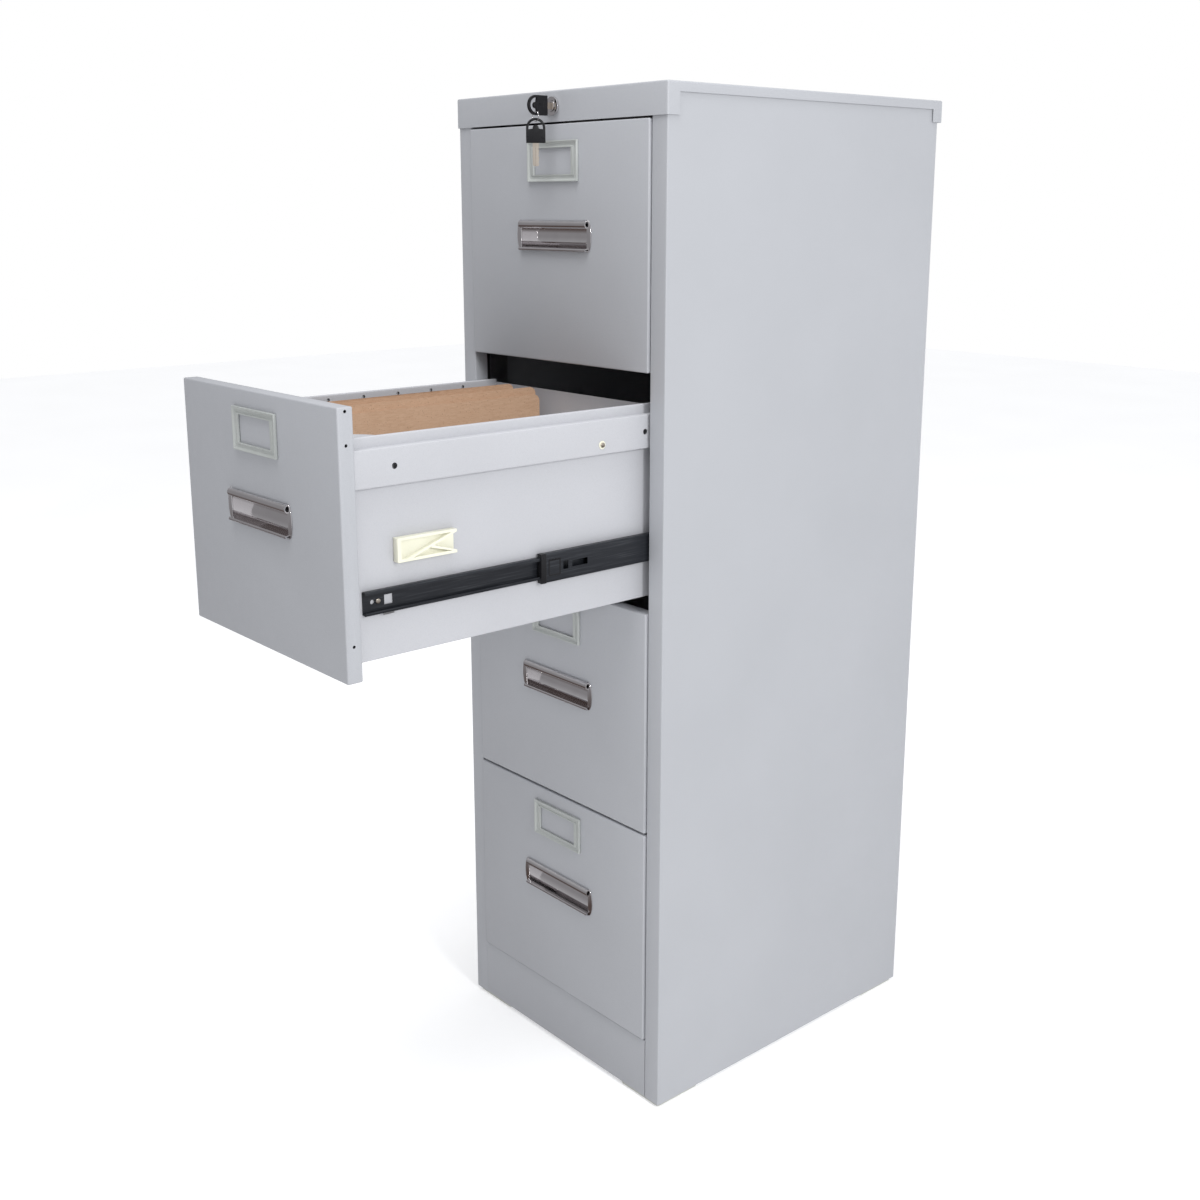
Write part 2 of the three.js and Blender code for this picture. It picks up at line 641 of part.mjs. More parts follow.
// A key's head about the middle of its dome, which points along -Y: a flat base, a domed end, and a
// curved slot that leaves a thin rim for the ring.
function bow() {
  const base = BOW.long - bowR
  const head = new THREE.Shape()
  head.moveTo(base, -bowR)
  head.lineTo(base, bowR)
  head.absarc(0, 0, bowR, Math.PI / 2, 1.5 * Math.PI)
  const slot = new THREE.Shape()
  const reach = THREE.MathUtils.degToRad(BOW.slotTurn / 2)
  slot.absarc(0, 0, slotOut, Math.PI - reach, Math.PI + reach)
  slot.absarc(0, 0, slotOut - BOW.slot, Math.PI + reach, Math.PI - reach, true)
  const mouth = block(
    [-KEY_SLOT.thick / 2, KEY_SLOT.thick / 2], [base - BLADE_IN_BOW - GAP, base + CUT],
    [-KEY_SLOT.tall / 2, KEY_SLOT.tall / 2])
  const thick = [-BOW.thick / 2, BOW.thick / 2]
  return plate(head, 'yz', thick, 10).subtract(plate(slot, 'yz', [-BOW.thick, BOW.thick], 8)).subtract(mouth)
}

function blade(from, to) {
  return block(
    [-BLADE.thick / 2, BLADE.thick / 2], [from, to], [-BLADE.tall / 2, BLADE.tall / 2])
}

// The ring hangs round the lower rim of the key that is in the lock, in an upright plane along X.
const rimZ = lockZ - bowR + BOW.rim / 2
const ringMiddle = rimZ - RING_HANG
const ringLow = ringMiddle - RING_R
const spareDomeZ = ringLow + RING_WIRE_R + SPARE_PLAY - slotOut
function keyRing() {
  const wire = new THREE.TorusGeometry(RING_R, RING_WIRE_R, 6, 24)
  wire.rotateX(Math.PI / 2)
  return solidOf(wire)
}

// Flat strip behind the lid's lip: an upright slot for the crank pin and a sloping slot for the bar's stud.
function lockLink() {
  const y = [LINK_Y, LINK_Y + LINK_T]
  const reach = PIN_R + PIN_PLAY
  const strip = block([crankX - LINK_END, studX + LINK_END], y, [linkBottom, linkBottom + LINK_H])
  const pinLow = lockZ - CRANK_R
  const pinSlot = roundedOutline(
    [pinLow - reach, pinLow + crankLift + reach], [crankX - reach, crankX + reach], PIN_R)
  const lean = Math.atan(RAMP)
  const rampL = Math.hypot(linkTravel, RAMP * linkTravel)
  const ramp = new THREE.BoxGeometry(rampL + 2 * reach, 4 * LINK_T, 2 * reach)
  ramp.rotateY(lean)
  ramp.translate(studX - linkTravel / 2, LINK_Y, studZ + (RAMP * linkTravel) / 2)
  const pinCut = plate(pinSlot, 'zx', [LINK_Y - CUT, LINK_Y + LINK_T + CUT], 3)
  return strip.subtract(pinCut).subtract(solidOf(ramp))
}

// Upright bar beside the slides, with a stud in the link's sloping slot and a pin beside each catch.
function interlockBar() {
  const y = [BAR_Y, BAR_Y + BAR_W]
  const x = [barOuter - BAR_T, barOuter]
  const armY = LINK_Y + LINK_T + ARM_GAP
  const armTall = [studZ - ARM_H / 2, studZ + ARM_H / 2]
  const solids = [
    block(x, y, [frontBottom(0) + CATCH_UP - BAR_END, armTall[1]]),
    block(x, [armY, BAR_Y + BAR_W], armTall),
    block([studX - ARM_END, barOuter], [armY, armY + BAR_T], armTall),
    plate(disc(studZ, studX, PIN_R), 'zx', [LINK_Y - CUT, armY + WELD], 6),
  ]
  for (let i = 0; i < DRAWERS; i++) {
    const z = frontBottom(i) + CATCH_UP
    solids.push(plate(disc(BAR_Y + BAR_W / 2, z, PIN_R), 'yz', [catchFace + PIN_STANDOFF, barOuter], 4))
  }
  return join(...solids)
}

// A closed paper folder standing on its spine, a little fuller at the bottom than at the top.
function folder(x) {
  const bottom = TRAY_LIFT + SHEET + GAP
  const top = trayTop + FOLDER_PROUD
  const start = trayStart + FOLDER_START
  const section = polygon([
    [bottom, x - FOLDER_T / 2], [bottom, x + FOLDER_T / 2],
    [top, x + FOLDER_T / 3], [top, x - FOLDER_T / 3],
  ])
  return plate(section, 'zx', [start, start + FOLDER_L])
}

// ---- Assembly ----

const cabinet = new THREE.Group()

for (const side of [-1, 1]) {
  const hand = side < 0 ? 'left' : 'right'
  cabinet.add(
    piece(`${hand}_side_panel`, sidePanel(side), GREY_PAINT),
    piece(`${hand}_slide_rack`, slideRack(side), ZINC),
    piece(`foot_front_${hand}`, foot(side, false), FOOT_PLASTIC),
    piece(`foot_rear_${hand}`, foot(side, true), FOOT_PLASTIC),
  )
}
cabinet.add(
  piece('back_panel', backPanel(), GREY_PAINT),
  piece('base_panel', basePanel(), GREY_PAINT),
  piece('plinth_panel', plinthPanel(), GREY_PAINT),
  piece('top_panel', lid(), GREY_PAINT),
  piece('lock_barrel', lockBarrel(), CHROME),
  piece('lock_plug', lockPlug(), CHROME),
  piece('lock_link', lockLink(), ZINC),
  piece('interlock_bar', interlockBar(), ZINC),
)

// The key in the lock, its ring, and the spare key hanging dome up on the ring.
const baseToDome = BOW.long - bowR
const key = new THREE.Group()
key.position.set(0, domeY, lockZ)
key.add(
  piece('key_bow', bow(), BLACK_PLASTIC),
  piece('key_blade', blade(baseToDome - BLADE_IN_BOW, plugFace + BLADE_IN_PLUG - domeY), NICKEL),
)
const ring = piece('key_ring', keyRing(), CHROME)
ring.position.set(0, domeY, ringMiddle)
const spareKey = new THREE.Group()
spareKey.position.set(0, domeY, spareDomeZ)
spareKey.rotation.set(-Math.PI / 2, 0, THREE.MathUtils.degToRad(SPARE_TURN), 'ZXY')
spareKey.add(
  piece('spare_key_bow', bow(), BLACK_PLASTIC),
  piece('spare_key_blade', blade(baseToDome - BLADE_IN_BOW, baseToDome + SPARE_BLADE_L), NICKEL),
)
cabinet.add(key, ring, spareKey)

// Drawers are numbered from the top down.
for (let number = 1; number <= DRAWERS; number++) {
  const open = number === 2 ? TRAVEL - TRAVEL_LEFT : 0
  const z = frontBottom(DRAWERS - number)
  const drawer = new THREE.Group()
  const runners = new THREE.Group()
  drawer.position.set(0, -open, z)
  runners.position.set(0, -open / 2, z + SLIDE_UP)
  drawer.add(
    piece(`drawer_${number}_front`, drawerFront(), GREY_PAINT),
    piece(`drawer_${number}_tray`, tray(), TRAY_PAINT),
    piece(`interlock_catch_${number}`, interlockCatch(), CREAM_PLASTIC),
  )
  const handle = piece(`handle_${number}`, pull(), CHROME)
  handle.position.set(0, -FRONT_PROUD, frontH - PULL_DROP)
  const label = piece(`label_holder_${number}`, labelHolder(), LABEL_PLASTIC)
  label.position.set(0, -FRONT_PROUD, frontH - LABEL_DROP - LABEL_H / 2)
  drawer.add(handle, label)
  for (const side of [-1, 1]) {
    const hand = side < 0 ? 'left' : 'right'
    const inner = piece(`slide_inner_${hand}_${number}`, channel(side, INNER), BLACK_STEEL)
    inner.position.z = SLIDE_UP
    drawer.add(inner)
    runners.add(piece(`slide_middle_${hand}_${number}`, channel(side, MIDDLE), BLACK_STEEL))
  }
  if (number === 2) {
    FOLDER_X.forEach((x, i) => drawer.add(piece(`folder_${i + 1}`, folder(x), KRAFT)))
  }
  cabinet.add(drawer, runners)
}

// The origin is on the floor, under the middle of everything that the cabinet covers as it stands.
const bounds = new THREE.Box3().setFromObject(cabinet, true)
const group = new THREE.Group()
cabinet.position.y = -exact((bounds.min.y + bounds.max.y) / 2)
group.add(cabinet)

export default group
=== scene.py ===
# %% [markdown]
# # A four-drawer filing cabinet
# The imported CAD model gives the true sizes, places and joints. This lesson dresses it: each folded
# sheet, pull, label frame, slide and key is modelled at the place that its CAD node holds, gets a
# finish made of nodes, and rides on the body that the node rides on.

# %% Load the frame
import json
import math
import bpy
from mathutils import Matrix, Vector

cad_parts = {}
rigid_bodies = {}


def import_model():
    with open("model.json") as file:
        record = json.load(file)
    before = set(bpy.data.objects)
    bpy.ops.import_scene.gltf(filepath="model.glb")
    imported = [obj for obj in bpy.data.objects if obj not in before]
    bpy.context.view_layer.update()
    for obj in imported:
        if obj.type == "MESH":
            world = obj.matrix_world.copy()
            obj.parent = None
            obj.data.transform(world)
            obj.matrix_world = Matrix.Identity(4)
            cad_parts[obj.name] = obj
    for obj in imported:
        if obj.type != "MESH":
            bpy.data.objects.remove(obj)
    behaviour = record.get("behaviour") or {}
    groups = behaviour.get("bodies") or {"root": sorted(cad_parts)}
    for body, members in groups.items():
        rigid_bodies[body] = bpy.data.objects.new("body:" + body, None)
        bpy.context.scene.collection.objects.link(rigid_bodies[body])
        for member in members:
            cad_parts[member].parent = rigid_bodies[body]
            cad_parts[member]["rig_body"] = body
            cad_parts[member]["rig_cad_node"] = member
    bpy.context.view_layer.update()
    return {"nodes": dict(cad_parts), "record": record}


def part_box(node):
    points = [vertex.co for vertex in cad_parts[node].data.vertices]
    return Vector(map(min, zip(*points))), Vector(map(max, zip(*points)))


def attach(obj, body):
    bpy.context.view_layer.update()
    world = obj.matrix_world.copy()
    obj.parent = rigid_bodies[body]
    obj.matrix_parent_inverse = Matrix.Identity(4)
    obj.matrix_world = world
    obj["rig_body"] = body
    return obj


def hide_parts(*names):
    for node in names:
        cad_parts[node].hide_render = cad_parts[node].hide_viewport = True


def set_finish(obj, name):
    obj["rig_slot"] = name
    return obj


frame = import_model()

MM = 0.001
DRAWERS = (1, 2, 3, 4)
SIDES = {"left": -1, "right": 1}


def in_mm(size):
    return [round(v / MM, 1) for v in size]


# %% [markdown]
# ## Helpers for modelling by hand
# Every piece starts as a primitive at its size and place. Operators act on whatever is selected, so
# each helper first deselects everything and then picks faces or edges by where they are.

# %% Primitives at their size and place
TURN = {"x": (0, math.pi / 2, 0), "y": (math.pi / 2, 0, 0), "z": (0, 0, 0)}


def deselect():
    bpy.ops.object.select_all(action="DESELECT")


def started(name):
    obj = bpy.context.object
    obj.name = name
    bpy.ops.object.transform_apply(location=True, rotation=True, scale=True)
    return obj


def block(name, low, high):
    """A cube primitive stretched between two corners."""
    low, high = Vector(low), Vector(high)
    deselect()
    bpy.ops.mesh.primitive_cube_add(size=1, location=(low + high) / 2, scale=high - low)
    return started(name)


def rod(name, centre, radius, length, axis, sides=32):
    """A cylinder primitive with its length along one axis."""
    deselect()
    bpy.ops.mesh.primitive_cylinder_add(
        vertices=sides, radius=radius, depth=length, location=centre, rotation=TURN[axis])
    return started(name)


print("primitives: block, rod")

# %% Picking faces and edges in code
def choose(obj, kind, test):
    """Enters edit mode with what passes the test selected. A face is tested by its centre and normal,
    an edge by its two ends."""
    deselect()
    obj.select_set(True)
    bpy.context.view_layer.objects.active = obj
    bpy.ops.object.mode_set(mode="EDIT")
    bpy.ops.mesh.select_mode(type=kind)
    bpy.ops.mesh.select_all(action="DESELECT")
    bpy.ops.object.mode_set(mode="OBJECT")
    points = obj.data.vertices
    if kind == "FACE":
        for face in obj.data.polygons:
            face.select = test(face.center, face.normal)
    else:
        for edge in obj.data.edges:
            edge.select = test(points[edge.vertices[0]].co, points[edge.vertices[1]].co)
    bpy.ops.object.mode_set(mode="EDIT")


def leave_edit():
    bpy.ops.object.mode_set(mode="OBJECT")


def bevel(obj, test, width, segments=3):
    """Rounds the edges that pass the test."""
    choose(obj, "EDGE", test)
    bpy.ops.mesh.bevel(offset=width, segments=segments, affect="EDGES")
    leave_edit()


def every_edge(a, b):
    return True


print("pickers: choose, bevel")

# %% Modifiers, joining and copying
def apply_modifier(obj, kind, **settings):
    modifier = obj.modifiers.new(kind.title(), kind)
    for key, value in settings.items():
        setattr(modifier, key, value)
    deselect()
    obj.select_set(True)
    bpy.context.view_layer.objects.active = obj
    bpy.ops.object.modifier_apply(modifier=modifier.name)


def joined(obj, *others):
    """One object out of several."""
    deselect()
    for other in (obj, *others):
        other.select_set(True)
    bpy.context.view_layer.objects.active = obj
    bpy.ops.object.join()
    return obj


def cut(obj, *cutters):
    """Takes the cutters out of obj with one boolean, and removes them."""
    tool = joined(*cutters)
    apply_modifier(obj, "BOOLEAN", operation="DIFFERENCE", solver="EXACT", object=tool)
    bpy.data.objects.remove(tool)


def copy_of(obj, name, offset=(0, 0, 0), mirror=False):
    """A copy with its own mesh, moved, and turned to the other hand if asked."""
    twin = obj.copy()
    twin.data = obj.data.copy()
    twin.name = name
    bpy.context.scene.collection.objects.link(twin)
    if mirror:
        twin.data.transform(Matrix.Diagonal((-1, 1, 1, 1)))
        twin.data.flip_normals()
    twin.data.transform(Matrix.Translation(offset))
    return twin


print("tools: apply_modifier, joined, cut, copy_of")

# %% [markdown]
# ## Sheet metal
# Most of a filing cabinet is folded steel sheet. A folded piece has the same section all along, so it
# could be a box with its edges bevelled, but a box has no thin wall. Here a plane primitive is the
# first flange, its leading edge is extruded round the folds, and Solidify gives the sheet its gauge.

# %% Fold a sheet along a section
SHEET = 0.8 * MM
FOLD_R = 1.8 * MM
FOLD_STEPS = 4
AXES = {"x": Vector((1, 0, 0)), "y": Vector((0, 1, 0)), "z": Vector((0, 0, 1))}
SECTION = {"x": ("y", "z"), "y": ("x", "z"), "z": ("x", "y")}


def softened(path, radius):
    """The path with each inner corner turned through a small curve."""
    points = [Vector(p) for p in path]
    out = [points[0]]
    for before, corner, after in zip(points, points[1:], points[2:]):
        start = corner + (before - corner).normalized() * radius
        end = corner + (after - corner).normalized() * radius
        for i in range(FOLD_STEPS + 1):
            t = i / FOLD_STEPS
            out.append(start * (1 - t) ** 2 + corner * 2 * t * (1 - t) + end * t * t)
    return out + [points[-1]]


def folded(name, axis, span, path, outward, gauge=SHEET, radius=FOLD_R):
    """A sheet whose outer face follows path in section, swept over span along axis.
    outward is the side, in the section, that the first flange faces."""
    sweep = AXES[axis]
    a, b = (AXES[k] for k in SECTION[axis])
    route = [a * p[0] + b * p[1] for p in (softened(path, radius) if radius else map(Vector, path))]
    first = route[1] - route[0]
    middle = sweep * (sum(span) / 2)
    across = sweep.cross(first.normalized())
    turn = Matrix((sweep, first.normalized(), across)).transposed().to_euler()
    deselect()
    bpy.ops.mesh.primitive_plane_add(size=1, location=middle + (route[0] + route[1]) / 2, rotation=turn)
    bpy.context.object.scale = (span[1] - span[0], first.length, 1)
    sheet = started(name)
    lead = route[1].dot(first.normalized())
    choose(sheet, "EDGE", lambda p, q: min(p.dot(first.normalized()), q.dot(first.normalized()))
           > lead - first.length / 100)
    for before, after in zip(route[1:], route[2:]):
        bpy.ops.mesh.extrude_region_move(TRANSFORM_OT_translate={"value": after - before})
    leave_edit()
    facing = a * outward[0] + b * outward[1]
    if sheet.data.polygons[0].normal.dot(facing) < 0:
        sheet.data.flip_normals()
    apply_modifier(sheet, "SOLIDIFY", thickness=gauge, offset=-1)
    return sheet


print("sheet gauge", in_mm([SHEET]), "mm, folded at radius", in_mm([FOLD_R]), "mm")

# %% [markdown]
# ## Finishes
# Each finish is a small node tree on Object coordinates, which are metres on the real thing, so a
# noise of scale 600 makes grains of about 1.5 mm. Most of them start from the same three parts: slow
# colour drift, fine grain and a bump.

# %% Node helpers
def shader(name):
    """A new material: its tree, its principled shader and its object coordinates."""
    material = bpy.data.materials.new(name)
    material.use_nodes = True
    tree = material.node_tree
    coords = tree.nodes.new("ShaderNodeTexCoord").outputs["Object"]
    return material, tree, tree.nodes["Principled BSDF"], coords


def stretched(tree, coords, scale):
    """Coordinates stretched along some axes, for brushed or drawn surfaces."""
    node = tree.nodes.new("ShaderNodeMapping")
    node.inputs["Scale"].default_value = scale
    tree.links.new(coords, node.inputs["Vector"])
    return node.outputs["Vector"]


def noise(tree, coords, scale, detail=2.0, roughness=0.5):
    node = tree.nodes.new("ShaderNodeTexNoise")
    node.inputs["Scale"].default_value = scale
    node.inputs["Detail"].default_value = detail
    node.inputs["Roughness"].default_value = roughness
    tree.links.new(coords, node.inputs["Vector"])
    return node.outputs["Fac"]


def cells(tree, coords, scale):
    """Small domes side by side, as an etched mould leaves them."""
    node = tree.nodes.new("ShaderNodeTexVoronoi")
    node.inputs["Scale"].default_value = scale
    tree.links.new(coords, node.inputs["Vector"])
    return node.outputs["Distance"]


def remap(tree, value, low, high, start=0.3, end=0.7):
    """value between start and end becomes low to high."""
    node = tree.nodes.new("ShaderNodeMapRange")
    for key, number in (("From Min", start), ("From Max", end), ("To Min", low), ("To Max", high)):
        node.inputs[key].default_value = number
    tree.links.new(value, node.inputs["Value"])
    return node.outputs["Result"]


def blend(tree, share, first, second):
    """A mix of two colours. Each is a tuple or another node's output."""
    node = tree.nodes.new("ShaderNodeMix")
    node.data_type = "RGBA"
    tree.links.new(share, node.inputs["Factor"])
    for socket, colour in ((node.inputs[6], first), (node.inputs[7], second)):
        if isinstance(colour, tuple):
            socket.default_value = (*colour, 1)
        else:
            tree.links.new(colour, socket)
    return node.outputs[2]


def bumped(tree, principled, layers):
    """Bumps on top of each other, as (height, depth in metres, strength)."""
    below = None
    for height, depth, strength in layers:
        node = tree.nodes.new("ShaderNodeBump")
        node.inputs["Distance"].default_value = depth
        node.inputs["Strength"].default_value = strength
        tree.links.new(height, node.inputs["Height"])
        if below:
            tree.links.new(below, node.inputs["Normal"])
        below = node.outputs["Normal"]
    tree.links.new(below, principled.inputs["Normal"])


print("node helpers: noise, cells, remap, blend, bumped")

# %% [markdown]
# Powder coat is sprayed as dust and melted on, so it has a fine orange peel, a soft gloss and a
# colour that drifts a little from place to place. Two greys share the recipe: the case and fronts,
# and the paler trays.

# %% Powder coat
def powder_coat(name, colour, darker):
    material, tree, principled, coords = shader(name)
    drift = remap(tree, noise(tree, coords, 5, 3), 0, 1)
    speck = remap(tree, noise(tree, coords, 1400, 1), 0, 0.5, 0.45, 0.75)
    tone = blend(tree, drift, colour, tuple(c * 0.955 for c in colour))
    tree.links.new(blend(tree, speck, tone, darker), principled.inputs["Base Color"])
    gloss = remap(tree, noise(tree, coords, 60, 3), 0.4, 0.5)
    tree.links.new(gloss, principled.inputs["Roughness"])
    principled.inputs["Specular IOR Level"].default_value = 0.45
    bumped(tree, principled, [
        (noise(tree, coords, 9, 2), 0.8 * MM, 0.12),
        (noise(tree, coords, 620, 2), 0.06 * MM, 0.35),
    ])
    return material


FINISH = {
    "grey_paint": powder_coat("grey powder coat", (0.425, 0.435, 0.46), (0.34, 0.35, 0.37)),
    "tray_paint": powder_coat("pale powder coat", (0.485, 0.49, 0.515), (0.4, 0.405, 0.43)),
}
print("finishes so far:", list(FINISH))

# %% [markdown]
# Moulded plastics carry the texture of their tool: a fine etched grain on the label frames and the
# cream catches, a coarser one on the black key heads, and a coarser one still on the feet.

# %% Moulded plastics
def moulded(name, colour, shade, grain, roughness, gloss=0.5):
    material, tree, principled, coords = shader(name)
    principled.inputs["Specular IOR Level"].default_value = gloss
    drift = remap(tree, noise(tree, coords, 22, 3), 0, 1)
    tree.links.new(blend(tree, drift, colour, shade), principled.inputs["Base Color"])
    spread = remap(tree, noise(tree, coords, 160, 2), roughness - 0.05, roughness + 0.08)
    tree.links.new(spread, principled.inputs["Roughness"])
    bumped(tree, principled, [
        (cells(tree, coords, grain), 0.03 * MM, 0.3),
        (noise(tree, coords, grain / 6, 2), 0.05 * MM, 0.2),
    ])
    return material


FINISH["cream_plastic"] = moulded(
    "cream moulded plastic", (0.8, 0.79, 0.66), (0.74, 0.73, 0.6), 1500, 0.36)
FINISH["label_plastic"] = moulded(
    "pale label plastic", (0.45, 0.47, 0.455), (0.4, 0.42, 0.405), 1500, 0.38)
FINISH["black_plastic"] = moulded(
    "black moulded plastic", (0.008, 0.008, 0.009), (0.013, 0.013, 0.015), 1100, 0.3, 0.25)
FINISH["foot_plastic"] = moulded(
    "grey foot plastic", (0.56, 0.57, 0.53), (0.47, 0.48, 0.44), 900, 0.5)
print("finishes so far:", list(FINISH))

# %% [markdown]
# Plated and bare metals. Chrome is nearly a mirror with a breath of haze. Nickel and zinc are drawn
# or brushed along one way, so their noise is stretched. The black slides are phosphated steel that
# the balls have rubbed along their length.

# %% Metals
def metal(name, colour, shade, roughness, spread, brush=None, depth=0.02):
    material, tree, principled, coords = shader(name)
    principled.inputs["Metallic"].default_value = 1
    drift = remap(tree, noise(tree, coords, 30, 3), 0, 1)
    tree.links.new(blend(tree, drift, colour, shade), principled.inputs["Base Color"])
    along = stretched(tree, coords, brush) if brush else coords
    streak = noise(tree, along, 420, 3)
    tree.links.new(remap(tree, streak, roughness, roughness + spread), principled.inputs["Roughness"])
    bumped(tree, principled, [(streak, depth * MM, 0.15)])
    return material


FINISH["chrome"] = metal(
    "bright chrome", (0.74, 0.72, 0.725), (0.69, 0.67, 0.675), 0.05, 0.06, depth=0.008)
FINISH["nickel"] = metal(
    "dull nickel", (0.5, 0.45, 0.39), (0.38, 0.33, 0.28), 0.24, 0.14, (1, 1, 0.05))
FINISH["zinc_steel"] = metal(
    "zinc plated steel", (0.4, 0.4, 0.41), (0.3, 0.3, 0.31), 0.34, 0.16, (1, 0.06, 1))


def phosphated_steel():
    material, tree, principled, coords = shader("black slide steel")
    principled.inputs["Metallic"].default_value = 0.3
    along = stretched(tree, coords, (1, 0.02, 1))
    rubbed = remap(tree, noise(tree, along, 900, 4), 0, 1, 0.5, 0.8)
    tree.links.new(
        blend(tree, rubbed, (0.014, 0.016, 0.021), (0.05, 0.054, 0.062)), principled.inputs["Base Color"])
    tree.links.new(remap(tree, noise(tree, coords, 300, 3), 0.3, 0.46), principled.inputs["Roughness"])
    bumped(tree, principled, [(cells(tree, coords, 1600), 0.02 * MM, 0.25)])
    return material


FINISH["black_steel"] = phosphated_steel()
print("finishes so far:", list(FINISH))

# %% [markdown]
# Kraft card is unbleached pulp: a warm brown with long fibres, darker flecks and a dry, matte face.
# The sheets inside the folders are white paper, whose edges show as fine lines of painted shade in the
# gaps between the leaves.

# %% Card and paper
def kraft_card():
    material, tree, principled, coords = shader("kraft card")
    cloud = remap(tree, noise(tree, coords, 14, 4), 0, 1)
    fibres = remap(tree, noise(tree, stretched(tree, coords, (1, 0.12, 1)), 900, 4), 0, 1, 0.35, 0.7)
    fleck = remap(tree, noise(tree, coords, 700, 1), 0, 0.55, 0.66, 0.72)
    body = blend(tree, cloud, (0.56, 0.36, 0.235), (0.5, 0.315, 0.2))
    body = blend(tree, fibres, body, (0.6, 0.4, 0.27))
    tree.links.new(blend(tree, fleck, body, (0.27, 0.16, 0.1)), principled.inputs["Base Color"])
    principled.inputs["Roughness"].default_value = 0.85
    principled.inputs["Specular IOR Level"].default_value = 0.2
    bumped(tree, principled, [(fibres, 0.05 * MM, 0.35), (cloud, 0.4 * MM, 0.2)])
    return material


def paper_stack():
    material, tree, principled, coords = shader("stacked paper")
    leaf_ridges_and_gap_shade = noise(tree, stretched(tree, coords, (1, 0.01, 0.01)), 3600, 2)
    # The grey tone is painted shade in the gaps between the leaves; the same noise bumps the leaf edges.
    tree.links.new(
        blend(tree, remap(tree, leaf_ridges_and_gap_shade, 0, 1), (0.8, 0.79, 0.75), (0.58, 0.57, 0.54)),
        principled.inputs["Base Color"])
    principled.inputs["Roughness"].default_value = 0.8
    bumped(tree, principled, [(leaf_ridges_and_gap_shade, 0.1 * MM, 0.5)])
    return material


FINISH["kraft_card"] = kraft_card()
PAPER = paper_stack()
print(len(FINISH) + 1, "finishes")

# %% [markdown]
# A finished piece is shaded smooth across its small facets, gets its finish, hides the CAD nodes that it
# stands for, and is hung on the body that it moves with. The paper takes its own finish afterwards.

# %% Dress a piece and hang it on its body
SMOOTH_ANGLE = math.radians(32)


def dress(obj, body, slot, *nodes):
    """Smooths a finished piece, paints it, hides the CAD nodes that it stands for, and hangs it on their
    body.
    """
    deselect()
    obj.select_set(True)
    bpy.context.view_layer.objects.active = obj
    bpy.ops.object.shade_smooth_by_angle(angle=SMOOTH_ANGLE)
    obj.data.materials.clear()
    obj.data.materials.append(FINISH[slot])
    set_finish(obj, slot)
    if nodes:
        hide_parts(*nodes)
    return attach(obj, body)


def size_of(node):
    low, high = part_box(node)
    return low, high, high - low


print("pieces are smoothed below", round(math.degrees(SMOOTH_ANGLE)), "degrees")

# %% [markdown]
# ## The CAD nodes that stay
# Hidden brackets, panels seen from behind and the lock already have their true shape. They keep
# their meshes and only get a finish, a Weld to close their loose triangles, and a narrow Bevel,
# because no real edge is perfectly sharp.

# %% Finish the CAD nodes
EDGE_W = 0.25 * MM
WELD_GAP = 0.002 * MM
HARD_EDGE = math.radians(40)
slot_of = {part["node"]: part["material_slot"] for part in frame["record"]["subparts"]}
for name, node in frame["nodes"].items():
    node.data.materials.clear()
    node.data.materials.append(FINISH[slot_of[name]])
    weld = node.modifiers.new("Weld", "WELD")
    weld.merge_threshold = WELD_GAP
    edge = node.modifiers.new("Bevel", "BEVEL")
    edge.width = EDGE_W
    edge.segments = 2
    edge.limit_method = "ANGLE"
    edge.angle_limit = HARD_EDGE
print("dressed", len(frame["nodes"]), "CAD nodes")

# %% [markdown]
# ## The case
# Each side is one sheet: a return behind the opening, the stile, the wall and a rear flange. It is
# folded here in plan and swept up the height of the cabinet.

# %% Side panels
STILE_W = 26.5 * MM
STILE_RETURN = 20 * MM
REAR_FLANGE = 15 * MM
low, high, size = size_of("right_side_panel")
outer_x, stile_x = high.x, high.x - STILE_W
section = [
    (stile_x, low.y + STILE_RETURN), (stile_x, low.y), (outer_x, low.y),
    (outer_x, high.y), (outer_x - REAR_FLANGE, high.y),
]
right_side = folded("case_side_right", "z", (low.z, high.z), section, (-1, 0))
floor_flange = block("floor_flange", (stile_x + SHEET, low.y + SHEET, low.z),
                     (outer_x - SHEET, high.y - SHEET, low.z + SHEET))
joined(right_side, floor_flange)
left_side = copy_of(right_side, "case_side_left", mirror=True)
dress(right_side, "case", "grey_paint", "right_side_panel")
dress(left_side, "case", "grey_paint", "left_side_panel")
print("side panel", in_mm(size))

# %% [markdown]
# The plinth closes the foot of the case. It is one strip with a return along its top and its bottom.

# %% Plinth
low, high, size = size_of("plinth_panel")
plinth = folded("case_plinth", "x", (low.x, high.x), [
    (high.y, low.z), (low.y, low.z), (low.y, high.z), (high.y, high.z)], (0, -1))
dress(plinth, "case", "grey_paint", "plinth_panel")
print("plinth", in_mm(size))

# %% [markdown]
# The lid is a shallow tray turned over. It is deepest at the front, where the lip carries the lock,
# turns each front corner, and is cut down to a narrow flange along the sides. So a closed box loses
# its bottom, gets rounded folds, is given its gauge, and the openings are then cut out. Two staples
# under it carry the link that runs from the lock to the locking bar.

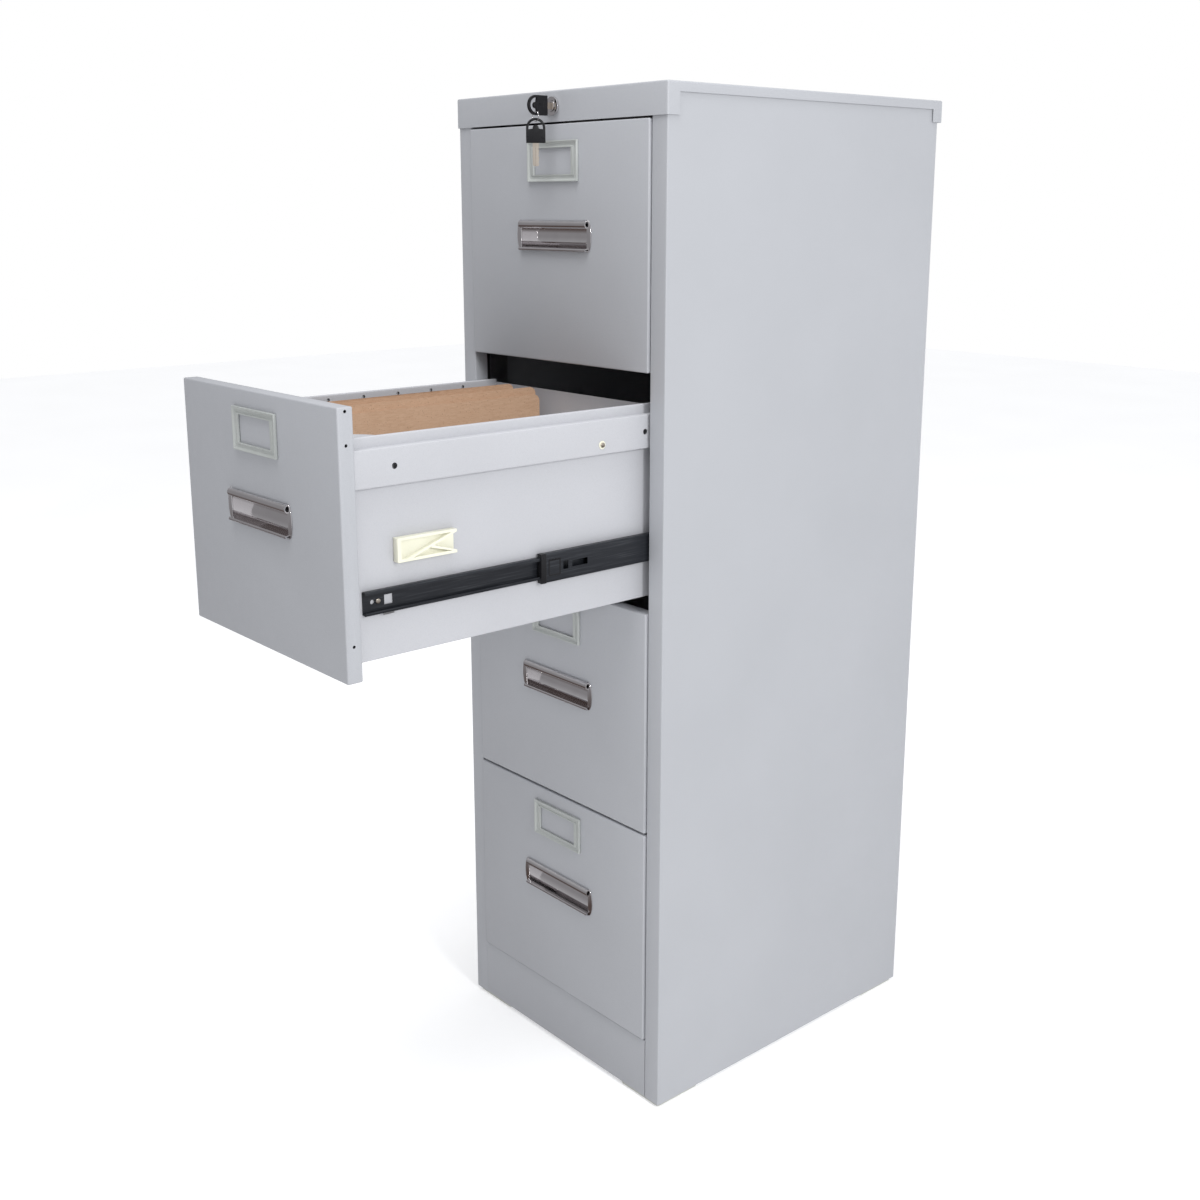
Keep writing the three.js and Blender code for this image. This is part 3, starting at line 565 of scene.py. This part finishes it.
# %% Lid
LIP_H = 38 * MM
LIP_WRAP = 20 * MM
SIDE_FLANGE_H = 12 * MM
EAR_H = 29 * MM
EAR_L = 20 * MM
LID_R = 2.2 * MM
LOCK_HOLE_R = 9.3 * MM
low, high, size = size_of("top_panel")
lock_low, lock_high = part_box("lock_barrel")
lock_centre = Vector((0, low.y, (lock_low.z + lock_high.z) / 2))
lip_low = lock_centre.z - LIP_H / 2
lid = block("case_lid", (low.x, low.y, lip_low), high)
choose(lid, "FACE", lambda c, n: n.z < -0.9)
bpy.ops.mesh.delete(type="FACE")
leave_edit()
bevel(lid, lambda a, b: max(a.z, b.z) > high.z - SHEET, LID_R, 4)
apply_modifier(lid, "SOLIDIFY", thickness=SHEET, offset=-1)
BEYOND = 20 * MM
cut(lid, block("side_cut", (low.x - BEYOND, low.y + LIP_WRAP, lip_low - BEYOND),
               (high.x + BEYOND, high.y - EAR_L, high.z - SIDE_FLANGE_H)))
cut(lid, block("ear_cut", (low.x - BEYOND, high.y - EAR_L - MM, lip_low - BEYOND),
               (high.x + BEYOND, high.y + BEYOND, high.z - EAR_H)))
cut(lid, rod("lock_hole", lock_centre, LOCK_HOLE_R, 10 * MM, "y"))
print("lid", in_mm(size), len(lid.data.polygons), "faces")

# %% Staples under the lid
STAPLE_X = (40 * MM, 100 * MM)
STAPLE_W = 14 * MM
STAPLE_T = 1.5 * MM
STAPLE_AHEAD = 1.8 * MM
STAPLE_BEHIND = 3.3 * MM
link_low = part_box("lock_link")[0]
ahead, behind = link_low.y - STAPLE_AHEAD, link_low.y + STAPLE_BEHIND
under_lid, seat = high.z - SHEET, link_low.z - STAPLE_AHEAD
section = [(ahead, under_lid), (ahead, seat), (behind, seat), (behind, under_lid)]
staples = [folded("staple", "x", (x, x + STAPLE_W), section, (-1, 0), STAPLE_T, MM) for x in STAPLE_X]
joined(lid, *staples)
dress(lid, "case", "grey_paint", "top_panel")
print(len(staples), "staples")

# %% [markdown]
# The feet are moulded pads with rounded corners. Only their front edges show under the case.

# %% Feet
FOOT_CORNER = 4 * MM
FOOT_EDGE = 0.9 * MM
for place in ("front_left", "front_right", "rear_left", "rear_right"):
    low, high, size = size_of("foot_" + place)
    foot = block("pad_" + place, low, high)
    bevel(foot, lambda a, b: abs(a.z - b.z) > size.z / 2, FOOT_CORNER, 4)
    bevel(foot, lambda a, b: abs(a.z - b.z) < size.z / 2, FOOT_EDGE, 2)
    dress(foot, "case", "foot_plastic", "foot_" + place)
print("foot", in_mm(size))

# %% [markdown]
# ## Drawer fronts
# A front is a shallow pan: a face, four walls and a flange turned in behind. It starts as a block
# whose back face is inset and deleted, which leaves the flange. The folds are bevelled before
# Solidify, so that the inside of each fold follows the outside.

# %% Drawer fronts
FRONT_FLANGE = 30 * MM
HOLE_R = 1.8 * MM
HOLE_DROPS = (4.5 * MM, 40 * MM)
HOLE_UP = 41 * MM
PULL_MARGIN = 3 * MM
PULL_EAR = 7 * MM
low, high, size = size_of("drawer_1_front")
front = block("front_1", low, high)
choose(front, "FACE", lambda c, n: n.y > 0.9)
bpy.ops.mesh.inset(thickness=FRONT_FLANGE)
bpy.ops.mesh.delete(type="FACE")
leave_edit()


def outside_edge(a, b):
    """True for an edge with both ends on the walls of the front."""
    return all(min(p.x - low.x, high.x - p.x, p.z - low.z, high.z - p.z) < SHEET for p in (a, b))


bevel(front, outside_edge, FOLD_R, 4)
apply_modifier(front, "SOLIDIFY", thickness=SHEET, offset=-1)
pull_low, pull_high, pull_size = size_of("handle_1")
margin = Vector((PULL_EAR - MM, 0, PULL_MARGIN))
cut(front, block("pull_cut", Vector((pull_low.x, low.y - MM, pull_low.z)) + margin,
                 Vector((pull_high.x, low.y + 2 * MM, pull_high.z)) - margin))
hole_y = (low.y + high.y) / 2
hole_heights = [low.z + HOLE_UP] + [high.z - drop for drop in HOLE_DROPS]
cut(front, *[rod("hole", (0, hole_y, z), HOLE_R, size.x + 10 * MM, "x", 16) for z in hole_heights])
home_low = low.copy()


def on_each_front(piece, name, slot, node):
    """Dresses the top drawer's piece, and a copy of it for each drawer below."""
    for n in DRAWERS:
        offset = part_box(f"drawer_{n}_front")[0] - home_low
        here = piece if n == 1 else copy_of(piece, f"{name}_{n}", offset)
        dress(here, f"drawer_{n}", slot, node.format(n))


on_each_front(front, "front", "grey_paint", "drawer_{}_front")
print("front", in_mm(size), len(front.data.polygons), "faces")

# %% [markdown]
# ## Pulls
# The pull is a chromed strip with one long section: a bead below, a face that sweeps back into a scoop
# for the fingertips, and a lip rolled forward on top. It is folded along X like the sheets, with the
# curves worked out from arcs. A cheek closes the scoop at each end, inside a flat rounded ear.

# %% Pulls
PULL_GAUGE = 1.4 * MM
LIP_R = 5 * MM
BEAD_R = 2.2 * MM
BEAD_OUT = 3.4 * MM
EAR_T = 1.4 * MM
EAR_EDGE = 0.4 * MM
front_y = home_low.y
middle_z = (pull_low.z + pull_high.z) / 2
half_h = pull_size.z / 2
scoop_y = pull_high.y - front_y - PULL_GAUGE
scoop_h = half_h - 4 * MM
lip_z = half_h - LIP_R - 0.5 * MM


def arc(y, z, radii, start, end, steps):
    """Points round part of an ellipse about (y, z). Angles are in degrees from straight back, upward
    first."""
    for i in range(steps + 1):
        angle = math.radians(start + (end - start) * i / steps)
        yield (front_y + y + radii[0] * math.cos(angle), middle_z + z + radii[1] * math.sin(angle))


section = [(front_y - SHEET, middle_z - half_h)]
section += arc(-BEAD_OUT, BEAD_R - half_h, (BEAD_R, BEAD_R), 270, 130, 10)
section += arc(0, 0, (scoop_y, scoop_h), -60, 48, 20)
section += arc(-SHEET, lip_z, (LIP_R, LIP_R), 250, 90, 16)
scoop_half = pull_high.x - PULL_EAR
strip = folded("pull_1", "x", (-scoop_half, scoop_half), section, (0, -1), PULL_GAUGE, 0)
ends = []
for side in (-1, 1):
    middle = (side * (scoop_half - PULL_GAUGE / 2), front_y, middle_z)
    cheek = rod("cheek", middle, 1, PULL_GAUGE, "x", 64)
    choose(cheek, "FACE", lambda c, n: True)
    bpy.ops.transform.resize(value=(1, scoop_y, scoop_h), center_override=middle)
    bpy.ops.mesh.bisect(plane_co=middle, plane_no=(0, 1, 0), use_fill=True, clear_inner=True)
    leave_edit()
    ear_at = (side * scoop_half, front_y - EAR_T / 2, middle_z)
    ear = rod("ear", ear_at, 1, EAR_T, "y", 64)
    choose(ear, "FACE", lambda c, n: True)
    bpy.ops.transform.resize(value=(PULL_EAR, 1, half_h), center_override=ear_at)
    bpy.ops.mesh.bisect(plane_co=(side * (scoop_half - PULL_GAUGE), 0, 0), plane_no=(side, 0, 0),
                        use_fill=True, clear_inner=True)
    leave_edit()
    bevel(ear, every_edge, EAR_EDGE, 3)
    ends += [cheek, ear]
pull = joined(strip, *ends)
on_each_front(pull, "pull", "chrome", "handle_{}")
print("pull", len(pull.data.polygons), "faces")

# %% [markdown]
# ## Label frames
# A label frame is a moulded rim that slopes down to a flat tray round the window. The front face is
# inset for the rim, the slope, the flat and the small lip that holds the card, one after another, and
# the window is cut through what is left.

# %% Label frames
INSETS = ((1.1, 0), (2.6, -2.2), (3.1, 0), (0.7, 1.1))
WINDOW_X = 12 * MM
WINDOW_Z = 8.75 * MM
low, high, size = size_of("label_holder_1")
label = block("label_frame_1", low, high)
choose(label, "FACE", lambda c, n: n.y < -0.9)
for width, rise in INSETS:
    bpy.ops.mesh.inset(thickness=width * MM, depth=rise * MM)
leave_edit()
cut(label, block("window", (low.x + WINDOW_X, low.y - MM, low.z + WINDOW_Z),
                 (high.x - WINDOW_X, high.y + MM, high.z - WINDOW_Z)))
apply_modifier(label, "BEVEL", width=EDGE_W, segments=2, angle_limit=math.radians(25))
on_each_front(label, "label_frame", "label_plastic", "label_holder_{}")
print("label frame", len(label.data.polygons), "faces")

# %% [markdown]
# ## Trays
# A tray is one sheet folded in a U, with its rims turned in and down as hems, closed by a wall at
# each end and stiffened by a band down each side. A gusset braces each front corner. The U is swept
# along Y, and then holes are drilled for the hanging rails and the slides.

# %% Trays
HEM_W = 4.8 * MM
HEM_H = 14 * MM
HEM_PITCH = 52.7 * MM
HEM_START = 62 * MM
HEM_HOLE_R = 2.4 * MM
BACK_WALL_DROP = 4 * MM
BAND_DROP = 12 * MM
BAND_H = 42 * MM
BAND_PROUD = 8.7 * MM
BAND_HOLE_R = 3.5 * MM
BAND_HOLE_FRONT = 50 * MM
BAND_HOLE_BACK = 25 * MM
GUSSET_R = 46 * MM
GUSSET_DROP = 3 * MM
low, high, size = size_of("drawer_1_tray")
half = high.x - BAND_PROUD
rim_in = half - HEM_W
section = [
    (-rim_in, high.z - HEM_H), (-rim_in, high.z), (-half, high.z), (-half, low.z),
    (half, low.z), (half, high.z), (rim_in, high.z), (rim_in, high.z - HEM_H),
]
tray = folded("tray_1", "y", (low.y, high.y), section, (1, 0))
inner_x = half - SHEET
fitted = [
    block("front_wall", (-inner_x, low.y, low.z + SHEET), (inner_x, low.y + SHEET, high.z)),
    block("back_wall", (-inner_x, high.y - SHEET, low.z + SHEET),
          (inner_x, high.y, high.z - BACK_WALL_DROP)),
]
for wall in fitted:
    bevel(wall, every_edge, SHEET / 4, 2)
band_top = high.z - BAND_DROP
hem_z = high.z - HEM_H / 2
band_z = band_top - BAND_H / 2
for side in SIDES.values():
    tray_x, band_x = side * half, side * (half + BAND_PROUD)
    band = folded("band", "y", (low.y, high.y), [
        (tray_x, band_top), (band_x, band_top),
        (band_x, band_top - BAND_H), (tray_x, band_top - BAND_H)], (0, 1))
    cut(band, *[rod("hole", (band_x, y, band_z), BAND_HOLE_R, 6 * MM, "x", 24)
                for y in (low.y + BAND_HOLE_FRONT, high.y - BAND_HOLE_BACK)])
    fitted.append(band)
for side in SIDES.values():
    corner = (side * inner_x, low.y + SHEET, high.z - GUSSET_DROP)
    gusset = rod("gusset", corner, GUSSET_R, SHEET, "z", 64)
    for plane in ((-side, 0, 0), (0, 1, 0)):
        choose(gusset, "FACE", lambda c, n: True)
        bpy.ops.mesh.bisect(plane_co=corner, plane_no=plane, use_fill=True, clear_inner=True)
        leave_edit()
    fitted.append(gusset)
count = int((size.y - HEM_START - HEM_H) / HEM_PITCH) + 1
hole_places = [(side * rim_in, low.y + HEM_START + i * HEM_PITCH, hem_z)
               for side in SIDES.values() for i in range(count)]
cut(tray, *[rod("hole", place, HEM_HOLE_R, 3 * MM, "x", 16) for place in hole_places])
joined(tray, *fitted)
tray_home = low.copy()
for n in DRAWERS:
    here = tray if n == 1 else copy_of(tray, f"tray_{n}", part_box(f"drawer_{n}_tray")[0] - tray_home)
    dress(here, f"drawer_{n}", "tray_paint", f"drawer_{n}_tray")
print("tray", in_mm(size), len(tray.data.polygons), "faces,", len(hole_places), "rail holes")

# %% [markdown]
# A pan-head screw with a pale washer holds each band near its back. It is turned from a cylinder:
# the head's top face is inset and pulled up for the dome, and a slot is cut across it.

# %% Band screws
WASHER_R = 5 * MM
WASHER_T = 0.9 * MM
HEAD_R = 3 * MM
HEAD_T = 1.4 * MM
SCREW_BACK = 95 * MM
SCREW_DROP = 9 * MM
screw_at = Vector((half + BAND_PROUD, high.y - SCREW_BACK, band_z - SCREW_DROP))
washer = rod("band_washer_1_right", screw_at + Vector((0.5 * MM, 0, 0)), WASHER_R, WASHER_T, "x")
bevel(washer, every_edge, EDGE_W, 2)
head = rod("band_screw_1_right", screw_at + Vector((1.6 * MM, 0, 0)), HEAD_R, HEAD_T, "x")
choose(head, "FACE", lambda c, n: n.x > 0.9)
bpy.ops.mesh.inset(thickness=HEAD_R * 0.3, depth=0.4 * MM)
leave_edit()
cut(head, block("slot", screw_at + Vector((1.9, -5, -0.4)) * MM, screw_at + Vector((4, 5, 0.4)) * MM))
for n in DRAWERS:
    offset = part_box(f"drawer_{n}_tray")[0] - tray_home
    for hand, side in SIDES.items():
        for source, kind, slot in ((washer, "washer", "cream_plastic"), (head, "screw", "nickel")):
            if n == 1 and side > 0:
                here = source
            else:
                here = copy_of(source, f"band_{kind}_{n}_{hand}", offset, mirror=side < 0)
            dress(here, f"drawer_{n}", slot)
print("band screws at", in_mm(screw_at))

# %% [markdown]
# ## Interlock catches
# The ivory catch on each tray works against a pin on the locking bar. Its CAD shape is right, so a
# merged copy of it gets moulded edges. The key heads further down are made in the same way.

# %% Interlock catches
CATCH_EDGE = 0.6 * MM


def moulded_copy(node, name, body, slot, edge):
    """A copy of a CAD node with rounded edges, to stand for it."""
    piece = copy_of(frame["nodes"][node], name)
    piece.modifiers.clear()
    apply_modifier(piece, "WELD", merge_threshold=WELD_GAP)
    apply_modifier(piece, "BEVEL", width=edge, segments=3, angle_limit=HARD_EDGE)
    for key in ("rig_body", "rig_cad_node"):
        del piece[key]
    return dress(piece, body, slot, node)


for n in DRAWERS:
    moulded_copy(f"interlock_catch_{n}", f"catch_{n}", f"drawer_{n}", "cream_plastic", CATCH_EDGE)
print("catches", len(DRAWERS))

# %% [markdown]
# ## Ball slides
# Each slide has three nested channels. The inner one is screwed to the tray and the middle one runs
# between it and the cabinet. Their lips are curled into ball races, so the section gets wide folds.
# Windows and holes are cut where the real members are punched, in millimetres from the front end, or
# from the rear end where the number is negative.

# %% Slide members
RACE_R = 1.7 * MM
HOOK = 3.6 * MM
SLIDE_GAUGE = 1.2 * MM
REACH = 5 * MM
WINDOWS = {"inner": ((27, 38, 5.5),), "middle": ((30, 38, 5), (44, 68, 4))}
HOLES = {"inner": (12, 2.6, 20), "middle": (-30, 7, 24)}
slide_home = {}
for kind, opens in (("inner", 1), ("middle", -1)):
    low, high, size = size_of(f"slide_{kind}_right_1")
    web, lips = (low.x, high.x) if opens > 0 else (high.x, low.x)
    section = [(lips, high.z), (web, high.z), (web, low.z), (lips, low.z)]
    if kind == "inner":
        section = [(lips, high.z - HOOK), *section, (lips, low.z + HOOK)]
    member = folded(f"runner_{kind}_right_1", "y", (low.y, high.y), section, (0, 1), SLIDE_GAUGE, RACE_R)
    mid_z = (low.z + high.z) / 2
    punched = [block("window", (web - REACH, low.y + start * MM, mid_z - tall * MM),
                     (web + REACH, low.y + end * MM, mid_z + tall * MM))
               for start, end, tall in WINDOWS[kind]]
    place, hole_r, facets = HOLES[kind]
    hole_y = (low.y if place > 0 else high.y) + place * MM
    punched.append(rod("hole", (web, hole_y, mid_z), hole_r * MM, 2 * REACH, "x", facets))
    cut(member, *punched)
    slide_home[kind] = low.copy()
    body = "drawer" if kind == "inner" else "runners"
    for n in DRAWERS:
        for hand, side in SIDES.items():
            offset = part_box(f"slide_{kind}_right_{n}")[0] - slide_home[kind]
            if n == 1 and side > 0:
                here = member
            else:
                here = copy_of(member, f"runner_{kind}_{hand}_{n}", offset, mirror=side < 0)
            dress(here, f"{body}_{n}", "black_steel", f"slide_{kind}_{hand}_{n}")
    print(kind, "member", in_mm(size))

# %% [markdown]
# The balls of the middle member are held at its front by a black plastic retainer, and a bumper caps
# its end. The inner member has a rivet at its front and a small release tab below.

# %% Slide fittings
low, high, size = size_of("slide_middle_right_1")
mid_z = (low.z + high.z) / 2
bumper = block("bumper_right_1", (low.x - 0.2 * MM, low.y - 3 * MM, low.z - 0.4 * MM),
               (high.x + 0.3 * MM, low.y + 5 * MM, high.z + 0.4 * MM))
bevel(bumper, every_edge, 0.8 * MM, 3)
retainer = block("retainer_right_1", (high.x - 0.6 * MM, low.y + 8 * MM, mid_z - 10 * MM),
                 (high.x + 0.5 * MM, low.y + 26 * MM, mid_z + 10 * MM))
choose(retainer, "FACE", lambda c, n: n.x > 0.9)
bpy.ops.mesh.inset(thickness=2.2 * MM, depth=-0.6 * MM)
leave_edit()
bevel(retainer, every_edge, 0.3 * MM, 2)
low, high, size = size_of("slide_inner_right_1")
mid_z = (low.z + high.z) / 2
rivet = rod("rivet_right_1", (low.x + 1.6 * MM, low.y + 19 * MM, mid_z), 3 * MM, 1.6 * MM, "x", 24)
bevel(rivet, every_edge, 0.6 * MM, 3)
tab = block("release_tab_right_1", (high.x - 2 * MM, low.y + 22 * MM, low.z - 1.6 * MM),
            (high.x - 0.4 * MM, low.y + 36 * MM, low.z + 3 * MM))
bevel(tab, every_edge, 0.6 * MM, 3)
fittings = (
    (bumper, "bumper", "runners", "black_plastic"), (retainer, "retainer", "runners", "black_plastic"),
    (rivet, "rivet", "drawer", "nickel"), (tab, "release_tab", "drawer", "zinc_steel"),
)
for source, kind, body, slot in fittings:
    for n in DRAWERS:
        member = "middle" if body == "runners" else "inner"
        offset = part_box(f"slide_{member}_right_{n}")[0] - slide_home[member]
        for hand, side in SIDES.items():
            if n == 1 and side > 0:
                here = source
            else:
                here = copy_of(source, f"{kind}_{hand}_{n}", offset, mirror=side < 0)
            dress(here, f"{body}_{n}", slot)
print("fittings", [kind for source, kind, body, slot in fittings])

# %% [markdown]
# ## Folders
# Each folder is a card folded round its spine, with a taller back flap. The card is folded in a U
# across the drawer and swept along it, its corners are rounded, and the flaps are bowed a little,
# because card that stands on its spine never stays flat.

# %% Folders
CARD = 0.7 * MM
SPINE_R = 2.5 * MM
FLAP_STEP = 9 * MM
BOW_IN = 1.6 * MM
CORNER = 9 * MM


def flap_corner(a, b):
    """True for an edge across the card's thickness at one of its upper corners."""
    if (a - b).length >= 2 * CARD or abs(a.y - b.y) >= CARD / 9:
        return False
    at_end = min(a.y - low.y, high.y - a.y) < CARD
    tops = (high.z, high.z - FLAP_STEP)
    return at_end and any(abs(a.z - top) < CARD and abs(b.z - top) < CARD for top in tops)


for number in (1, 2):
    low, high, size = size_of(f"folder_{number}")
    left, right = low.x, high.x
    section = [(left, high.z), (left, low.z), (right, low.z), (right, high.z - FLAP_STEP)]
    card = folded(f"card_folder_{number}", "y", (low.y, high.y), section, (-1, 0), CARD, SPINE_R)
    bevel(card, flap_corner, CORNER, 5)
    choose(card, "FACE", lambda c, n: abs(n.x) > 0.9)
    bpy.ops.mesh.subdivide(number_cuts=7)
    leave_edit()
    for vertex in card.data.vertices:
        along = (vertex.co.y - low.y) / size.y
        up = (vertex.co.z - low.z) / size.z
        vertex.co.x += BOW_IN * math.sin(math.pi * along) * math.sin(math.pi * up / 2) * (1.5 - number)
    dress(card, "drawer_2", "kraft_card", f"folder_{number}")
    stack = block(f"paper_stack_{number}", (left + 2 * MM, low.y + 6 * MM, low.z + 2 * MM),
                  (right - 2.4 * MM, high.y - 9 * MM, high.z - 2.4 * FLAP_STEP))
    bevel(stack, every_edge, 0.5 * MM, 2)
    dress(stack, "drawer_2", "kraft_card")
    stack.data.materials[0] = PAPER
    del stack["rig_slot"]
print("folder", in_mm(size))

# %% [markdown]
# ## Keys
# The key heads are moulded over nickel blanks, so merged copies of the CAD heads get rounded edges.

# %% Key heads
HEAD_EDGE = 0.7 * MM
moulded_copy("key_bow", "key_head", "lock_key", "black_plastic", HEAD_EDGE)
moulded_copy("spare_key_bow", "spare_key_head", "spare_key", "black_plastic", HEAD_EDGE)
print("key head", in_mm(size_of("key_bow")[2]))

# %% [markdown]
# The spare key's blade hangs in view. It is cut from a bar: bevelled at its tip, with a groove down
# each face and the notches filed into one edge. It is turned about the vertical at the end, as the
# key hangs.

# %% Spare key blade
SPARE_TURN = math.radians(-35)
BLADE_T = 2 * MM
BLADE_W = 8 * MM
TIP_CUT = 2.4 * MM
FILE_R = 1.6 * MM
GROOVE_END = 9 * MM
NOTCHES = ((5, 2.0), (9, 1.2), (13, 2.4), (17, 1.5), (21, 2.1))
low, high, size = size_of("spare_key_blade")
centre = (low + high) / 2
spare = block("spare_key_blank", centre - Vector((BLADE_T, BLADE_W, size.z)) / 2,
              centre + Vector((BLADE_T, BLADE_W, size.z)) / 2)
edge_y = centre.y + BLADE_W / 2
bevel(spare, lambda a, b: max(a.z, b.z) < low.z + MM and abs(a.x - b.x) > MM, TIP_CUT, 2)
cutters = []
for up, deep in NOTCHES:
    file_at = (centre.x, edge_y + FILE_R, low.z + up * MM)
    cutters.append(rod("notch", file_at, FILE_R + deep * MM / 2, 4 * MM, "x", 6))
for side in SIDES.values():
    cutters.append(block("groove", (centre.x + side * 0.6 * MM, centre.y - 1.2 * MM, low.z - MM),
                         (centre.x + side * 2 * MM, centre.y + 0.3 * MM, high.z - GROOVE_END)))
for cutter in cutters:
    choose(cutter, "FACE", lambda c, n: True)
    bpy.ops.mesh.normals_make_consistent(inside=False)
    leave_edit()
cut(spare, *cutters)
turn = Matrix.Translation(centre) @ Matrix.Rotation(SPARE_TURN, 4, "Z")
spare.data.transform(turn @ Matrix.Translation(-centre))
dress(spare, "spare_key", "nickel", "spare_key_blade")
print("spare key blade", in_mm(size), len(NOTCHES), "notches")

# %% [markdown]
# The ring is a split ring: two turns of thin wire side by side. Two tori are each opened by a small
# gap, half a turn apart.

# %% Split ring
low, high, size = size_of("key_ring")
centre = (low + high) / 2
wire_r = size.y / 4
turns = []
for i, side in enumerate((-1, 1)):
    deselect()
    bpy.ops.mesh.primitive_torus_add(
        major_radius=size.z / 2 - 2 * wire_r, minor_radius=wire_r, major_segments=56, minor_segments=12,
        location=centre + Vector((0, side * wire_r, 0)), rotation=TURN["y"])
    coil = started("split_ring")
    gap_x = centre.x + (1 if i else -1) * (size.x / 2 - wire_r)
    cut(coil, block("gap", (gap_x - 2 * MM, centre.y - 3 * MM, centre.z - 0.3 * MM),
                    (gap_x + 2 * MM, centre.y + 3 * MM, centre.z + 0.3 * MM)))
    turns.append(coil)
dress(joined(*turns), "key_ring", "chrome", "key_ring")
print("ring", in_mm(size), "wire radius", in_mm([wire_r]))

# %% [markdown]
# ## Stage, light and camera
# The cabinet stands on a plain pale floor, which glows a little so that it runs on into the white
# room without a line. Glossy rays miss it, so that what chrome mirrors from below stays dark.

# %% Floor
FLOOR_HALF = 9
deselect()
bpy.ops.mesh.primitive_plane_add(size=2 * FLOOR_HALF, location=(0, 0, 0))
floor = started("studio_floor")
material, tree, principled, coords = shader("pale floor")
tone = remap(tree, noise(tree, coords, 2, 2), 0, 1)
tree.links.new(blend(tree, tone, (0.86, 0.86, 0.86), (0.83, 0.83, 0.83)), principled.inputs["Base Color"])
principled.inputs["Roughness"].default_value = 0.9
principled.inputs["Emission Color"].default_value = (1, 1, 1, 1)
principled.inputs["Emission Strength"].default_value = 0.4
floor.data.materials.append(material)
floor.visible_glossy = False
print("floor", 2 * FLOOR_HALF, "m")

# %% [markdown]
# The light is a soft room: bright above and to the right, dim towards the front, so that the fronts
# fall into shade, and dark below. The camera sees the room as plain white. Two softboxes add the
# light on the side panel and on the lid.

# %% Room light
BRIGHT_SIDE = Vector((0.8, 0.25, 0.55)).normalized()
world = bpy.data.worlds.new("soft room")
bpy.context.scene.world = world
world.use_nodes = True
tree = world.node_tree
nodes, links = tree.nodes, tree.links
direction = nodes.new("ShaderNodeTexCoord").outputs["Generated"]


def facing(way):
    """How far the direction points that way, from -1 to 1."""
    node = nodes.new("ShaderNodeVectorMath")
    node.operation = "DOT_PRODUCT"
    node.inputs[1].default_value = way
    links.new(direction, node.inputs[0])
    return node.outputs["Value"]


sideways = remap(tree, facing(BRIGHT_SIDE), 0, 1, -0.7, 0.85)
upper = blend(tree, sideways, (0.28, 0.275, 0.285), (0.84, 0.855, 0.88))
upward = remap(tree, facing((0, 0, 1)), 0, 1, -0.5, -0.2)
room = blend(tree, upward, (0.1, 0.075, 0.068), upper)
seen = blend(tree, nodes.new("ShaderNodeLightPath").outputs["Is Camera Ray"], room, (1.0, 1.0, 1.0))
links.new(seen, nodes["Background"].inputs["Color"])
bpy.context.scene.view_settings.view_transform = "Standard"


def softbox(name, place, target, width, power):
    """A square area light that looks at target."""
    light = bpy.data.lights.new(name, "AREA")
    light.shape = "SQUARE"
    light.size = width
    light.energy = power
    lamp = bpy.data.objects.new(name, light)
    lamp.location = place
    lamp.rotation_euler = (Vector(target) - Vector(place)).to_track_quat("-Z", "Y").to_euler()
    bpy.context.scene.collection.objects.link(lamp)


softbox("key_light", (2.7, -0.42, 1.8), (0, 0, 0.7), 0.5, 28)
softbox("overhead", (0.4, -0.8, 3.4), (0, -0.1, 0.7), 1.4, 44)
print(len(bpy.data.lights), "softboxes")

# %% [markdown]
# The camera stands to the front right, a little above the open drawer, and looks slightly down.

# %% Camera
CAMERA_AT = Vector((1.446, -1.216, 1.189))
YAW = math.radians(-49.11)
PITCH = math.radians(13.12)
forward = Vector((math.sin(YAW) * math.cos(PITCH), math.cos(YAW) * math.cos(PITCH), -math.sin(PITCH)))
lens = bpy.data.cameras.new("camera")
lens.lens = 42.93
lens.sensor_width = 36
lens.shift_y = -0.05
camera = bpy.data.objects.new("camera", lens)
camera.location = CAMERA_AT
camera.rotation_euler = forward.to_track_quat("-Z", "Y").to_euler()
bpy.context.scene.collection.objects.link(camera)
bpy.context.scene.camera = camera
print("camera at", [round(v, 3) for v in CAMERA_AT])
